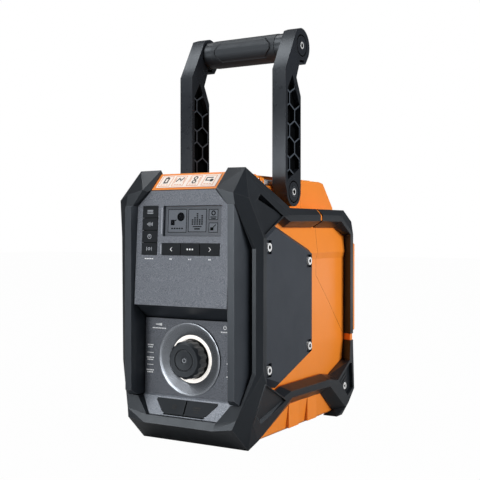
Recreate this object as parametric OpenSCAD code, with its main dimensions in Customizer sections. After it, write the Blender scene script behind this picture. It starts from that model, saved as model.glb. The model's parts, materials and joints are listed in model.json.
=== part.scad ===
// Jobsite radio: a portable radio with a folding handle, two side speakers and a battery bay.
// X runs across the control panel, Y runs from the panel (-Y) to the battery door (+Y), Z is up.
// The origin is on the floor under the middle of the radio.

/* [Housing] */
// Width of the orange housing at its waist
housing_w = 134; // [132:0.5:136]
// Height of the deck on both sides of the crown
deck_z = 239; // [237:0.5:241]
// Width of the crown that stands between the handle arms
crown_w = 96; // [94:0.5:96.5]
// Height of the crown
crown_z = 273.5; // [272:0.5:275]
// Height of the housing's underside above the floor
skirt_z = 5.5; // [5:0.5:8]
// Wall thickness of both housing halves
wall = 3; // [2.4:0.2:3.6]
// Gap between the two housing halves at their seam
seam_gap = 0.4; // [0.2:0.1:0.8]

/* [Bumper] */
// Width across the side rails
rail_w = 156; // [154:0.5:158]
// Width across the front frame at mid height
frame_w = 171; // [168:0.5:173]
// Gap between the control housing's side walls and the frame
frame_gap = 3; // [2:0.5:4]

/* [Speaker] */
// Diameter of the speaker's flange
driver_d = 89; // [80:1:96]
// Depth of the speaker basket
driver_depth = 17; // [15:1:20]
// Distance between the faces of the two speaker plates
plate_w = 151; // [149:0.5:153]
// Diameter of the plate screws' heads
plate_screw_d = 8.6; // [7:0.2:9.4]

/* [Control panel] */
// Thickness of the metallic fascias
fascia_t = 2.6; // [2:0.2:3]
// Outer diameter of the dished bezel round the dial
bezel_d = 74; // [68:1:76]
// Diameter of the dial knob
knob_d = 38.4; // [34:0.4:39.2]
// Length of the dial knob
knob_len = 12.6; // [11:0.2:14]
// Height of the dial's centre
dial_z = 86; // [85:0.5:88]
// Gap round each push button
button_gap = 0.25; // [0.15:0.05:0.4]
// Travel of each push button
button_travel = 1.2; // [0.8:0.1:1.6]

/* [Handle] */
// Distance between the inner faces of the handle arms
handle_inner_w = 101.2; // [100:0.4:103]
// Thickness of each handle arm
arm_t = 15.7; // [14:0.5:16.5]
// Height of the handle's pivot
pivot_z = 256.6; // [256:0.2:258]
// Height of the grip's centre line
grip_z = 414.4; // [404:1:424]
// Diameter of the grip's rubber sleeve
grip_d = 32; // [30:0.5:34]
// Radius of the pivot bolts
pivot_r = 4; // [3:0.25:4.25]
// Depth of the honeycomb cells in each face of an arm
cell_depth = 5.5; // [2:0.5:6.5]

/* [Antenna] */
// Radius of the antenna's outer tube
mast_r = 3; // [2.6:0.1:3.2]
// Length of the antenna's outer tube
mast_len = 112; // [90:1:118]
// Wall thickness of the antenna's tubes
mast_wall = 0.4; // [0.3:0.05:0.5]

/* [Battery bay] */
// Width of the battery pack
pack_w = 76; // [66:1:78]
// Height of the battery pack
pack_h = 92; // [80:1:94]
// Depth of the battery pack
pack_d = 58; // [50:1:60]
// Thickness of the battery door
door_t = 12.1; // [11:0.1:12.1]

/* [Hidden] */
$fn = 64;

// Colours
orange = "#e87424";
charcoal = "#3f444a";
panel_grey = "#6b7078";
black = "#1c1e22";
steel = "#c9ccd0";
white = "#f2f2f2";
board_green = "#2f6b46";

// Small sizes that many pieces share
fit = 0.05;            // radial running clearance of every pin and shaft
clear = 0.3;           // gap between neighbours that don't touch
far = 400;             // reaches past the whole radio

// Driving places of the housing
hw = housing_w / 2;
crown_hw = crown_w / 2;
rail_x = rail_w / 2;
frame_x = frame_w / 2;
plate_x = plate_w / 2;
front_y = -104;        // front wall of the housing
rear_y = 121;          // rear wall of the housing
bumper_rear_y = 121.5; // back of the rails
nose_y = -123.5;       // front edge of the crown's nose
nose_z = 256.5;        // underside of the nose
nose_top_y = -106;     // where the nose's slope meets the crown
nose_hw = 39.3;
side_x = hw - 1;       // sides of the housing beside the deck and the skirt

// ---------- helpers ----------

// A 2D outline in Y and Z, extruded along X from x0 to x1
module along_x(x0, x1) {
    translate([x0, 0, 0]) rotate([90, 0, 90]) linear_extrude(x1 - x0) children();
}

// A 2D outline in X and Z, extruded along Y from y0 to y1
module along_y(y0, y1) {
    translate([0, y1, 0]) rotate([90, 0, 0]) linear_extrude(y1 - y0) children();
}

module box(low, high) {
    translate(low) cube(high - low);
}

// A round bar or hole along X
module rod_x(x0, x1, y, z, r) {
    translate([x0, y, z]) rotate([0, 90, 0]) cylinder(h = x1 - x0, r = r);
}

// A round bar or hole along Y
module rod_y(y0, y1, x, z, r) {
    translate([x, y1, z]) rotate([90, 0, 0]) cylinder(h = y1 - y0, r = r);
}

module left_of_it() {
    mirror([1, 0, 0]) children();
}

module both_sides() {
    children();
    left_of_it() children();
}

// Closes a half outline by its mirror image
function mirrored(half) = concat(half, [for (i = [len(half) - 1:-1:0]) [-half[i][0], half[i][1]]]);

function shifted(points, by) = [for (p = points) p + by];

function tri_volume(a, b, c) = a * cross(b, c) / 6;

function total(list, i = 0) = i == len(list) ? 0 : list[i] + total(list, i + 1);

// How far the fourth corner of a quad stands off the plane of the other three
function off_plane(points, q) = let (p = points[q[0]])
    (points[q[1]] - p) * cross(points[q[2]] - p, points[q[3]] - p);

// A solid through rings of equally many 3D points. A side whose corners don't lie flat is folded outwards.
module loft(rings) {
    n = len(rings[0]);
    last = len(rings) - 1;
    points = [for (ring = rings) each ring];
    quads = [for (i = [0:last - 1], j = [0:n - 1])
        let (a = i * n + j, b = i * n + (j + 1) % n) [a, b, b + n, a + n]];
    flat = [for (q = quads, half = [0, 1]) half == 0 ? [q[0], q[1], q[2]] : [q[0], q[2], q[3]]];
    caps = [for (j = [1:n - 2], end = [0, last])
        end == 0 ? [0, j + 1, j] : [last * n, last * n + j, last * n + j + 1]];
    outwards = sign(total([for (f = concat(flat, caps)) tri_volume(points[f[0]], points[f[1]], points[f[2]])]));
    sides = [for (q = quads, half = [0, 1]) outwards * off_plane(points, q) > 0
        ? (half == 0 ? [q[0], q[1], q[3]] : [q[1], q[2], q[3]])
        : (half == 0 ? [q[0], q[1], q[2]] : [q[0], q[2], q[3]])];
    faces = concat(sides, caps);
    polyhedron(points, outwards > 0 ? [for (f = faces) [f[2], f[1], f[0]]] : faces);
}

// ---------- the housing, made in two halves ----------

skirt_top = 34;        // the skirt below the lower rail slants inwards by skirt_draft
skirt_draft = 3.5;

// Outline across the housing, right half, drawn in by e
function across(e) = [
    [side_x - skirt_draft - 2 - e, skirt_z + e], [side_x - skirt_draft - e, skirt_z + 2 + e],
    [side_x - e, skirt_top], [side_x - 2 - e, 52], [hw - e, 91], [hw - e, 184],
    [hw + 2 - e, 191], [side_x - e, 219], [side_x - e, deck_z - e], [crown_hw - e, deck_z - e],
    [crown_hw - e, crown_z - 3 - e], [crown_hw - 3 - e, crown_z - e]];

// Outline along the housing, drawn in by e
function along(e) = [
    [front_y + e, skirt_z + e], [98, skirt_z + e], [rear_y - e, 36], [rear_y - e, deck_z + 3.5 - e],
    [94.8 - e, crown_z - 3.5 - e], [80.5 - e, crown_z - e], [front_y + e, crown_z - e]];

shoulder_y = 98.8;     // where the deck starts to fall towards the back
shoulder_z = 226;      // height of the deck's rear edge

module housing_form(e = 0) {
    difference() {
        intersection() {
            along_y(-far, far) polygon(mirrored(across(e)));
            along_x(-far, far) polygon(along(e));
        }
        both_sides() along_x(crown_hw - e, far)
            polygon([[shoulder_y - e, deck_z - e], [rear_y - e, shoulder_z - e], [far, shoulder_z - e],
                [far, far], [shoulder_y - e, far]]);
    }
}

module nose() {
    along_x(-nose_hw, nose_hw)
        polygon([[nose_y, nose_z], [front_y + 1, nose_z], [front_y + 1, crown_z], [nose_top_y, crown_z]]);
}

// The whole body of the housing as one solid, which the bumpers are moulded round
module housing_block() {
    housing_form();
    nose();
}

// Front side of the seam, seen from the right, moved back by e
function seam_line(e) = [
    [37.5 + e, far], [37.5 + e, 166], [68.4 + e, 136.4], [107 + e, 97 + e], [far, 97 + e]];

module seam_side(front) {
    e = front ? 0 : seam_gap;
    line = seam_line(e);
    along_x(-far, far) polygon(front
        ? concat(line, [[far, -far], [-far, -far], [-far, far]])
        : concat(line, [[far, far]]));
}

// Antenna channel in the crown's right shoulder
channel_x0 = crown_hw - 10.5;
channel_x1 = crown_hw - 1.5;
channel_z = 261.5;
channel_front = -58;
finger_rear = -20;     // the outer wall is cut down in front of this, for a fingertip

module antenna_trough() {
    box([channel_x0 - wall, front_y + 1, channel_z - wall], [crown_hw - 0.5, 96, crown_z - 1.5]);
}

module antenna_channel() {
    box([channel_x0, channel_front, channel_z], [channel_x1, far, far]);
    box([channel_x0, channel_front, channel_z + 1], [far, antenna_y - 4, far]);
    box([channel_x0, antenna_y + 4, channel_z + 1], [far, finger_rear, far]);
    box([channel_x0, channel_front, antenna_z + 4], [far, finger_rear, far]);
}

// Handle pivot
arm_x0 = handle_inner_w / 2;
arm_x1 = arm_x0 + arm_t;
pivot_y = -14;
bolt_head_r = 6;
bolt_head_t = 3;
bolt_in = 15;          // how far the bolt reaches into the crown

module pivot_boss() {
    rod_x(crown_hw - bolt_in - 2, arm_x0 - clear, pivot_y, pivot_z, 9.5);
}

// Antenna hinge
antenna_y = -50;
antenna_x = (channel_x0 + channel_x1) / 2;
antenna_z = channel_z + mast_r + 1.7;
antenna_pin_r = 1.4;

// Speakers look out through the sides
driver_y = -42;
driver_z = 138;
driver_r = driver_d / 2;
driver_opening_r = driver_r - 6;
driver_x = hw - wall;  // the flange lies against the inner face of the side wall

// Plate screws, where they stand seen from the right
plate_screws_at = [[-85, 199], [4, 183], [4, 92], [-85, 77]];
screw_r = 1.9;
plate_screw_len = 15;
plate_screw_head_t = 4.4;
plate_screw_seat = plate_x - 3.2;

// Battery bay, open to the rear
bay_gap = 1;
tray_wall = 2;
bay_hw = pack_w / 2 + bay_gap;
bay_z0 = 104;
bay_z1 = bay_z0 + pack_h + bay_gap;
bay_y = rear_y - wall - pack_d - 3;

// Rear screws hold the rear half to the front half
case_screw_r = 2;
case_screw_len = 28;
case_screw_head_r = 3.8;
case_boss_r = 5.6;
case_screw_x = hw - wall - case_boss_r + 1.2;  // each boss bites into the side wall
// X, Z, and Y of the head's seat, deep in its boss
case_screws_at = [for (side = [-1, 1], at = [[112, 104], [205, 50]]) [side * case_screw_x, at[0], at[1]]];

// Ribs of the housing that show between the rails
rib_y = 27.5;
rib_w = 4.5;
rib_z = 87;
rib_h = 7.5;

module housing_shell() {
    difference() {
        union() {
            difference() {
                housing_form();
                difference() {
                    housing_form(wall);
                    antenna_trough();
                    both_sides() pivot_boss();
                    plate_bosses();
                    case_bosses();
                    floor_ribs();
                }
            }
            nose();
            both_sides() pivot_boss();
            both_sides() skirt_ribs();
            both_sides() seam_ribs();
        }
        antenna_channel();
        both_sides() {
            rod_x(crown_hw - bolt_in, far, pivot_y, pivot_z, pivot_r);
            rod_x(driver_x - 1, far, driver_y, driver_z, driver_opening_r);
            for (at = plate_screws_at)
                rod_x(plate_screw_seat - plate_screw_len, far, at[0], at[1], screw_r);
            guard_screw_hole();
        }
        for (at = case_screws_at) {
            rod_y(at[2] - case_screw_len, far, at[0], at[1], case_screw_r);
            rod_y(at[2], far, at[0], at[1], case_screw_head_r + clear);
        }
        rod_x(channel_x0 - 2, far, antenna_y, antenna_z, antenna_pin_r);
        // window behind the control panel
        box([-50, -far, 34], [50, front_y + wall + 1, 236]);
        // battery bay
        box([-bay_hw - tray_wall, bay_y + 1, bay_z0 - tray_wall], [bay_hw + tray_wall, far, bay_z1 + tray_wall]);
        inlet_hole();
    }
}

// Bosses on the side walls that take the plate screws
module plate_bosses() {
    both_sides() for (at = plate_screws_at)
        rod_x(plate_screw_seat - plate_screw_len - 2, hw, at[0], at[1], 4);
}

module case_bosses() {
    for (at = case_screws_at) rod_y(at[2] - case_screw_len - 2, rear_y, at[0], at[1], case_boss_r);
}

// Ribs across the floor stiffen it between the feet
module floor_ribs() {
    for (y = [-60, -20, 20, 60]) box([-hw, y - 1, 0], [hw, y + 1, skirt_z + wall + 5]);
}

// Raised bars on the skirt below the lower rail
skirt_rib_y = [-25, 18.6];
skirt_rib_w = 22;
skirt_rib_t = 0.3;

module skirt_ribs() {
    for (y = skirt_rib_y)
        box([side_x - skirt_draft - wall, y, skirt_z + 2], [side_x + skirt_rib_t, y + skirt_rib_w, skirt_top - 1]);
}

// ---------- rails: the section of the moulded bumper along the sides ----------

// Upper rail where it crosses the plane y, drawn in by e
function rail_ring(y, e = 0) = [
    [rail_x - 5.5 - e, y, deck_z - e], [rail_x - e, y, deck_z - 6.6 - e], [rail_x - e, y, deck_z - 13.1 + e],
    [side_x + 1 - e, y, deck_z - 20 + e], [side_x - 6, y, deck_z - 20 + e], [side_x - 6, y, deck_z - e]];

// Upright rear rail where it crosses the height z, drawn in by e
function upright_ring(z, e = 0) = [
    [rail_x - 5.5 - e, bumper_rear_y - e, z], [rail_x - e, bumper_rear_y - 7 - e, z],
    [rail_x - e, bumper_rear_y - 14.5 + e, z], [side_x + 1 - e, bumper_rear_y - 10 + e, z],
    [side_x - 6, bumper_rear_y - 10 + e, z], [side_x - 6, bumper_rear_y - e, z]];

module seam_ribs() {
    loft([rail_ring(rib_y, 0.8), rail_ring(rib_y + rib_w, 0.8)]);
    loft([upright_ring(rib_z, 0.8), upright_ring(rib_z + rib_h, 0.8)]);
}

// The outer corner of the rear rail, where it turns from the deck down the back
rear_turn = [
    rail_ring(rib_y + rib_w + clear),
    [[rail_x - 5.5, shoulder_y, deck_z], [rail_x, 81.7, deck_z - 6.6], [rail_x, 81.7, deck_z - 13.1],
        [side_x + 1, 84.9, deck_z - 20], [side_x - 6, 84.9, deck_z - 20], [side_x - 6, shoulder_y, deck_z]],
    [[rail_x - 5.5, bumper_rear_y, shoulder_z], [rail_x, 114.5, 211], [rail_x, 107, 211],
        [side_x + 1, 111.5, 209], [side_x - 6, 111.5, 209], [side_x - 6, bumper_rear_y, shoulder_z]],
    upright_ring(rib_z + rib_h + clear)];

module rear_rail() {
    color(charcoal) difference() {
        loft(rear_turn);
        housing_form();
    }
}

// ---------- front bumper ----------

post_x = frame_x - 6.6;  // front arris of the posts
mid_y = -116.7;          // front of the posts at mid height
low_z = 78;
high_z = 198;

// The bow under the panel is straight between the posts: its section in Y and Z
bow_hw = 40.6;
foot_y = -88;          // back edge of the bow's flat underside
bow_outline = [[foot_y, 0], [-104.8, 0], [-135, 22.5], [-129.5, 29.2], [-92, 29.2]];

// Outer arris of the corner block: where it turns, and where it meets the strut
block_side = [77, -126.3, 246.4];
block_top = [72.9, -103.3, 260.5];
block_crest = [63.1, -109.4, 277.2];   // outer end of the block's top edge

// Rings of the right post from the floor up: inner front, front, two arrises, rear, wall foot, inner rear
post_rings = [
    [[bow_hw, -98.8, 0], [bow_hw, -104.8, 0], [63.5, -104.8, 0], [68.3, -93.5, 8], [62, -89, 6],
        [55, foot_y, 0], [bow_hw, foot_y, 0]],
    [[bow_hw, -129, 22.5], [bow_hw, -135, 22.5], [62.1, -133, 25.5], [73, -113.8, 28.7], [73, -104, 28.7],
        [64, -90, 28.7], [bow_hw, -91, 22.5]],
    [[bow_hw, -123.5, 29.2], [bow_hw, -129.5, 29.2], [64.8, -130.4, 34], [75.2, -113.4, 38],
        [75.2, -107, 38], [64, -94, 38], [bow_hw, -92, 29.2]],
    [[60, -110.7, low_z], [66, mid_y, low_z], [post_x, mid_y, low_z], [frame_x - 0.7, -112.5, low_z + 2],
        [frame_x - 0.7, -106, low_z - 10.5], [plate_x - 2, -100, low_z - 6], [60, -98, low_z]],
    [[60, -110.7, high_z], [66, mid_y, high_z], [post_x, mid_y, high_z], [frame_x, -113, high_z + 11],
        [frame_x, -106.8, high_z + 10], [plate_x - 2, -100, high_z + 6], [60, -98, high_z]],
    [[55, -126.4, 240.5], [56.5, -132.4, 240.5], [64.7, -132.2, 240.5], [78.3, -124.3, 240.8],
        [76, -112, 243], [66, -104, 246], [50, -100, 243]],
    [[nose_hw, -126.4, 254], [44, -132.4, 256.4], [63, -132.4, 251.6], block_side, [75, -110, 251], [66, -102, 250], [nose_hw, -98, 252]],
    [[nose_hw, -103, 273], [40.5, -105.2, 277.8], block_crest, block_top,
        [72.4, -102.5, 258.5], [62, -98, 262], [nose_hw, -97, 268]]];

// Slanted strut from the corner block down to the upper rail, and the rail as far as the seam rib
upper_strut = [
    [block_crest, block_top, [74.5, -107.5, 251], [65, -104, 246], [60, -104, 252],
        [56, -101, 270]],
    [[rail_x - 5.5, -33.5, deck_z], [rail_x, -40.6, deck_z - 7.8], [rail_x, -43.9, deck_z - 14.3],
        [side_x + 1, -38, deck_z - 20], [side_x - 6, -38, deck_z - 20], [side_x - 1, -33.5, deck_z]],
    rail_ring(rib_y - clear)];

// Lower strut from the foot up to the lower rail
lower_end_y = 51.5;
lower_strut = [
    [[66, -106, 36], [73.4, -113.2, 29.5], [70.2, -101.2, 15.8], [68.3, -93.5, 8], [57, -94, 6],
        [58, -100, 30]],
    [[side_x + 1, -46.5, 55], [rail_x, -41.5, 50], [rail_x, -39.1, 43.4], [side_x, -21.6, 33.8],
        [58, -21.6, 36], [58, -40, 52]],
    [[side_x + 1, lower_end_y, 54.4], [rail_x, lower_end_y, 49], [rail_x, lower_end_y, 41.6],
        [side_x, lower_end_y, 32.5], [58, lower_end_y, 36], [58, lower_end_y, 52]]];

// Corner plates between the posts and the struts. The upper one has a sunk face and a slot, the lower one a
// recess with slanted walls.
upper_gusset = [block_top, [rail_x, -40.6, 231.2], [rail_x + 1, -59.7, 229.5], [frame_x, -113, high_z + 11],
    block_side];
upper_sink = [[76.4, -107.7, 246.6], [78.3, -64.4, 232.8], [78.8, -60.6, 230.5], [85, -109.8, 210.9],
    [77.7, -116.1, 242.2]];
upper_slot = [[75, -100.5, 251.3], [78.3, -64.4, 232.8], [76.4, -107.7, 246.6]];
lower_gusset = [[frame_x - 0.7, -108, low_z - 10], [rail_x, -54, 44.5], [73.5, -112.6, 29]];
lower_rim = [[83.6, -103.9, 65.6], [78, -51.2, 42], [74, -98, 23.9], [75.3, -110.5, 35.7]];
lower_floor = [[80.4, -100.5, 63.2], [74.5, -52, 42.9], [70.8, -95.2, 29.6], [72.5, -104, 35]];
gusset_t = 11;
sink = 2.4;
slot_depth = 8;

module slab(points, out, inward) {
    loft([shifted(points, [-inward, 0, 0]), shifted(points, [out, 0, 0])]);
}

// Window in the frame for the control housing, with a gap beside its walls
pane_hw = 55.6;
pane_outline = [[39.3, 256.5], [pane_hw, 240.5], [pane_hw, 46.8], [bow_hw + 0.9, 29.2]];
wall_front_hw = 65;                    // side walls of the control housing at their front edge
wall_back_hw = post_x - 4 - frame_gap; // and where they sink into the frame
wall_low_hw = 67;                      // and at their lower end
wall_low_z = 47.5;
rail_window = [[pane_hw - 1, 240.5], [64.7, 240.5], [post_x - 4, high_z], [post_x - 4, low_z + 1],
    [wall_low_hw, wall_low_z], [pane_hw - 1, 46.5]];

module control_window() {
    along_y(-far, front_y) polygon(mirrored(pane_outline));
    both_sides() along_y(-far, front_y) polygon(rail_window);
}

module front_bumper() {
    color(charcoal) difference() {
        union() {
            along_x(-bow_hw, bow_hw) polygon(bow_outline);
            both_sides() {
                loft(post_rings);
                loft(upper_strut);
                loft(lower_strut);
                slab(upper_gusset, 0, gusset_t);
                slab(lower_gusset, 0, gusset_t);
            }
        }
        housing_block();
        control_window();
        both_sides() {
            speaker_plate_form(clear);
            skirt_ribs();
            slab(upper_sink, 9, sink);
            slab(upper_slot, 9, slot_depth);
            loft([lower_floor, lower_rim, 2 * lower_rim - lower_floor]);
        }
    }
}

// ---------- rear corner guards ----------

// Outline of a guard, seen from the right, on the housing's side and on its own outer face
guard_base = [[bumper_rear_y, 34], [102.3, 0], [88, 0], [87.9, 7.6], [lower_end_y, 32],
    [lower_end_y, 54], [74, 50.4], [111.2, 64.6], [111.5, rib_z], [bumper_rear_y, rib_z]];
guard_face = [[118, 29.7], [101.5, 15], [97.5, 11.5], [93.5, 11.3], [lower_end_y, 41.6],
    [lower_end_y, 49], [72.2, 45.1], [105.4, 63.8], [107, rib_z], [bumper_rear_y - 7, rib_z]];
guard_foot_x = 69.4;
guard_recess = [[75.5, 44.5], [105.5, 61], [111.5, 60], [114.5, 31], [99.6, 23.5]];
guard_recess_t = 4;
guard_screw_at = [100.5, 34.5];
guard_screw_seat = rail_x - 9;
guard_screw_end = side_x - 6;
guard_head_r = 4.2;
guard_rib_n = 3;

function on_x(outline, xs) = [for (i = [0:len(outline) - 1]) [xs[i], outline[i][0], outline[i][1]]];

module corner_guard() {
    color(charcoal) difference() {
        loft([
            on_x(guard_base, [58, 52, 52, 58, 58, 58, 58, 58, 58, 58]),
            on_x(guard_base, [rail_x - 5.5, guard_foot_x, guard_foot_x, side_x, side_x,
                side_x, side_x, side_x, side_x, rail_x - 5.5]),
            on_x(guard_face, [rail_x, rail_x, rail_x - 1, rail_x, rail_x, rail_x, rail_x, rail_x, rail_x, rail_x])]);
        housing_form();
        skirt_ribs();
        difference() {
            along_x(rail_x - guard_recess_t, far) polygon(guard_recess);
            for (i = [0:guard_rib_n - 1]) translate([0, 2 * i, -4.2 * i])
                translate([rail_x - 6.6, 92, 49]) rotate([29, 0, 0]) cube([6.5, 17, 1.8], center = true);
        }
        rod_x(guard_screw_seat, far, guard_screw_at[0], guard_screw_at[1], guard_head_r + clear);
        guard_screw_hole();
    }
}

module guard_screw_hole() {
    rod_x(guard_screw_end, far, guard_screw_at[0], guard_screw_at[1], screw_r);
}

module guard_screws() {
    color(steel) both_sides() difference() {
        union() {
            rod_x(guard_screw_seat, rail_x - 4, guard_screw_at[0], guard_screw_at[1], guard_head_r);
            rod_x(guard_screw_end, guard_screw_seat, guard_screw_at[0], guard_screw_at[1], screw_r);
        }
        hex_socket_x(rail_x - 4, guard_screw_at, 2, 2);
    }
}

// Hexagonal key socket sunk t deep into a head whose face is at x
module hex_socket_x(x, at, r, t) {
    translate([x - t, at[0], at[1]]) rotate([0, 90, 0]) cylinder(h = t + 1, r = r, $fn = 6);
}

// ---------- speaker plates ----------

plate_face = [[-98, 203], [-70.5, 217.3], [10.5, 190.4], [10.5, 86.3], [-62.6, 62.2], [-98, 72.6]];
plate_foot = [[-100, 209], [-70, 223], [15.5, 194.6], [15.5, 82.6], [-60.5, 55.5], [-100, 66.5]];
plate_t = 2.6;

function plate_ring(outline, x) = [for (p = outline) [x, p[0], p[1]]];

// Solid shape of a plate, grown by e
module speaker_plate_form(e = 0) {
    loft([
        shifted(plate_ring(plate_foot, hw - 8), [0, 0, 0]),
        plate_ring(grown(plate_foot, e), hw + 2),
        plate_ring(grown(plate_face, e), plate_x + e)]);
}

// An outline pushed out from the driver's centre by e
function grown(outline, e) = [for (p = outline)
    let (d = p - [driver_y, driver_z]) p + d * e / norm(d) * 1.3];

module speaker_plate() {
    color(charcoal) difference() {
        speaker_plate_form();
        loft([
            plate_ring(grown(plate_foot, -3), hw - 9),
            plate_ring(grown(plate_foot, -3), hw + 1),
            plate_ring(grown(plate_face, -2.6), plate_x - plate_t)]);
        housing_form();
        for (at = plate_screws_at) {
            box([plate_screw_seat, at[0] - 5.6, at[1] - 7], [far, at[0] + 5.6, at[1] + 7]);
            rod_x(0, far, at[0], at[1], screw_r);
        }
    }
    color(charcoal) for (at = plate_screws_at) difference() {
        intersection() {
            box([hw, at[0] - 6.5, at[1] - 8], [plate_screw_seat, at[0] + 6.5, at[1] + 8]);
            speaker_plate_form();
        }
        housing_form();
        rod_x(0, far, at[0], at[1], screw_r);
    }
}

module plate_screws() {
    color(steel) both_sides() for (at = plate_screws_at) difference() {
        union() {
            rod_x(plate_screw_seat, plate_screw_seat + plate_screw_head_t, at[0], at[1], plate_screw_d / 2);
            rod_x(plate_screw_seat - plate_screw_len, plate_screw_seat, at[0], at[1], screw_r);
        }
        hex_socket_x(plate_screw_seat + plate_screw_head_t, at, 2.3, 2.4);
    }
}

// ---------- speakers ----------

flange_t = 3;
magnet_r = 26;
magnet_t = 14;
basket_x = driver_x - flange_t - driver_depth;

// A turned piece on the speaker's axis: profile points are radius and distance from the centre plane
module turned_x(profile) {
    translate([0, driver_y, driver_z]) rotate([0, 90, 0]) rotate_extrude($fn = 96) polygon(profile);
}

module speaker_baskets() {
    color(black) both_sides() turned_x([
        [driver_opening_r - 3, driver_x], [driver_r, driver_x], [driver_r, driver_x - flange_t],
        [driver_opening_r - 1, driver_x - flange_t], [magnet_r, basket_x], [14, basket_x], [14, basket_x + 2],
        [magnet_r - 1, basket_x + 2], [driver_opening_r - 3, driver_x - flange_t + 1]]);
}

module speaker_cones() {
    color("#26292e") both_sides() turned_x([
        [driver_opening_r - 3.2, driver_x - 0.2], [driver_opening_r - 3.2, driver_x - 1.4],
        [magnet_r - 4, basket_x + 3.4], [0, basket_x + 3.4], [0, basket_x + 9], [10, basket_x + 6],
        [magnet_r - 6, basket_x + 4.8], [driver_opening_r - 7, driver_x - 0.2],
        [driver_opening_r - 5, driver_x + 1.2]]);
}

module speaker_magnets() {
    color("#55585c") both_sides() turned_x([
        [0, basket_x - magnet_t], [magnet_r, basket_x - magnet_t], [magnet_r, basket_x], [14, basket_x],
        [13.8, basket_x + 3.2], [0, basket_x + 3.2]]);
}

// ---------- control housing and fascias ----------

// The upper fascia leans back
fascia_y = -131.5;
fascia_z = 140.5;
lean = atan2(7, 115.5);

module on_fascia() {
    translate([0, fascia_y, fascia_z]) rotate([-lean, 0, 0]) children();
}

// Centre line of the control panel seen from the right, from its top to its foot
recess_y = -112;       // front of the lower fascia at its top
recess_low_y = -114.3; // and where it meets the ledge over the ports
ceiling_z = 126;
ledge_z = 48;
crease_y = -116.3;     // top edge of the sloping port panel
crease_z = 46.8;
port_y = -125.2;       // and its lower edge
port_z = 29.3;
port_tilt = atan2(crease_y - port_y, crease_z - port_z);

// The panel's side view, set back by e
module panel_side_outline(e) {
    polygon([
        [front_y, port_z], [port_y + e, port_z], [crease_y + e, crease_z], [recess_low_y + e, ledge_z],
        [recess_y + e, ceiling_z], [fascia_y + e + 0.1, fascia_z], [fascia_y + 7.1 + e, 256.5],
        [front_y, 256.5]]);
}

fascia_outline = [[39.2, 256.3], [pane_hw - 0.2, 240.3], [pane_hw - 0.2, fascia_z], [0, fascia_z]];
board_t = 1.6;
board_y = front_y;     // the control board closes the back of the control housing
control_wall = 2.5;

module control_housing() {
    color("#474b52") difference() {
        union() {
            intersection() {
                along_y(-far, front_y) polygon(mirrored([[39.2, 256.4], [pane_hw - 0.1, 240.4],
                    [pane_hw - 0.1, 46.8], [41.4, 29.3]]));
                along_x(-far, far) panel_side_outline(fascia_t);
            }
            both_sides() side_wall();
        }
        // hollow behind the face
        intersection() {
            along_y(-far, far) polygon(mirrored([[37, 252], [pane_hw - 3.5, 235], [pane_hw - 3.5, 50],
                [40, 33]]));
            along_x(-far, far) polygon([
                [0, 32], [port_y + fascia_t + 5, 32], [recess_low_y + fascia_t + 3, ledge_z],
                [recess_y + fascia_t + 2.5, ceiling_z - 2], [fascia_y + fascia_t + 4.5, fascia_z + 2],
                [fascia_y + 8 + fascia_t + 2.5, 253], [0, 253]]);
        }
        on_fascia() {
            for (i = [0:3]) mode_cell(i, 0) translate([0, -20, 0]) cube([mode_w, 40, mode_h]);
            box([lens_x0, -1, lens_z0], [lens_x1, 20, lens_z1]);
            for (i = [0:2]) preset_cell(i, 0) translate([0, -20, 0]) cube([preset_w, 40, preset_h]);
        }
        rod_y(-far, far, 0, dial_z, bezel_d / 2 + fit);
        port_cut(2);
        box([usb_at[0] - 7 - clear, socket_front_y - clear, usb_at[1] - 3.6 - clear],
            [usb_at[0] + 7 + clear, far, usb_at[1] + 3.6 + clear]);
        rod_y(socket_front_y - clear, far, aux_at[0], aux_at[1], 4 + clear);
    }
}

// Side walls that guard the panel, drawn as a wedge that widens towards the frame
wall_front_y = -134;

module side_wall() {
    difference() {
        side_wall_form();
        difference() {
            box([-far, -far, 0], [pane_hw - 0.1, front_y, far]);
            along_x(-far, far) panel_side_outline(fascia_t);
        }
    }
}

module side_wall_form() {
    intersection() {
        translate([0, 0, 40]) linear_extrude(210) polygon([
            [pane_hw + 2, wall_front_y], [wall_front_hw, wall_front_y], [wall_back_hw, -112],
            [wall_back_hw, front_y], [pane_hw - 3, front_y], [pane_hw - 3, -128], [pane_hw - 0.1, -128]]);
        along_y(-far, far) polygon([[pane_hw - 3, 240.4], [64.4, 240.4], [wall_back_hw, high_z - 1],
            [wall_back_hw, low_z + 1], [wall_low_hw - 0.6, wall_low_z + 0.3],
            [pane_hw - 0.1, wall_low_z + 0.3], [pane_hw - 3, wall_low_z + 0.3]]);
        along_x(-far, far) polygon([[wall_front_y - 1, 54], [-126.7, wall_low_z + 0.3], [front_y, wall_low_z + 0.3],
            [front_y, 240.4], [wall_front_y - 1, 240.4]]);
    }
}

// Keypad column, display window and preset row on the upper fascia
mode_x = -48.4;
mode_z = 50.5;
mode_w = 19.3;
mode_h = 12.45;
preset_x = -23.4;
preset_z = 50.5;
preset_w = 22.87;
preset_h = 12.2;
lens_x0 = -22.8;
lens_x1 = 46;
lens_z0 = 69.6;
lens_z1 = 99.9;

module mode_cell(i, gap) {
    translate([mode_x + gap, 0, mode_z + (3 - i) * mode_h + gap]) children();
}

module preset_cell(i, gap) {
    translate([preset_x + i * preset_w + gap, 0, preset_z + gap]) children();
}

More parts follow.
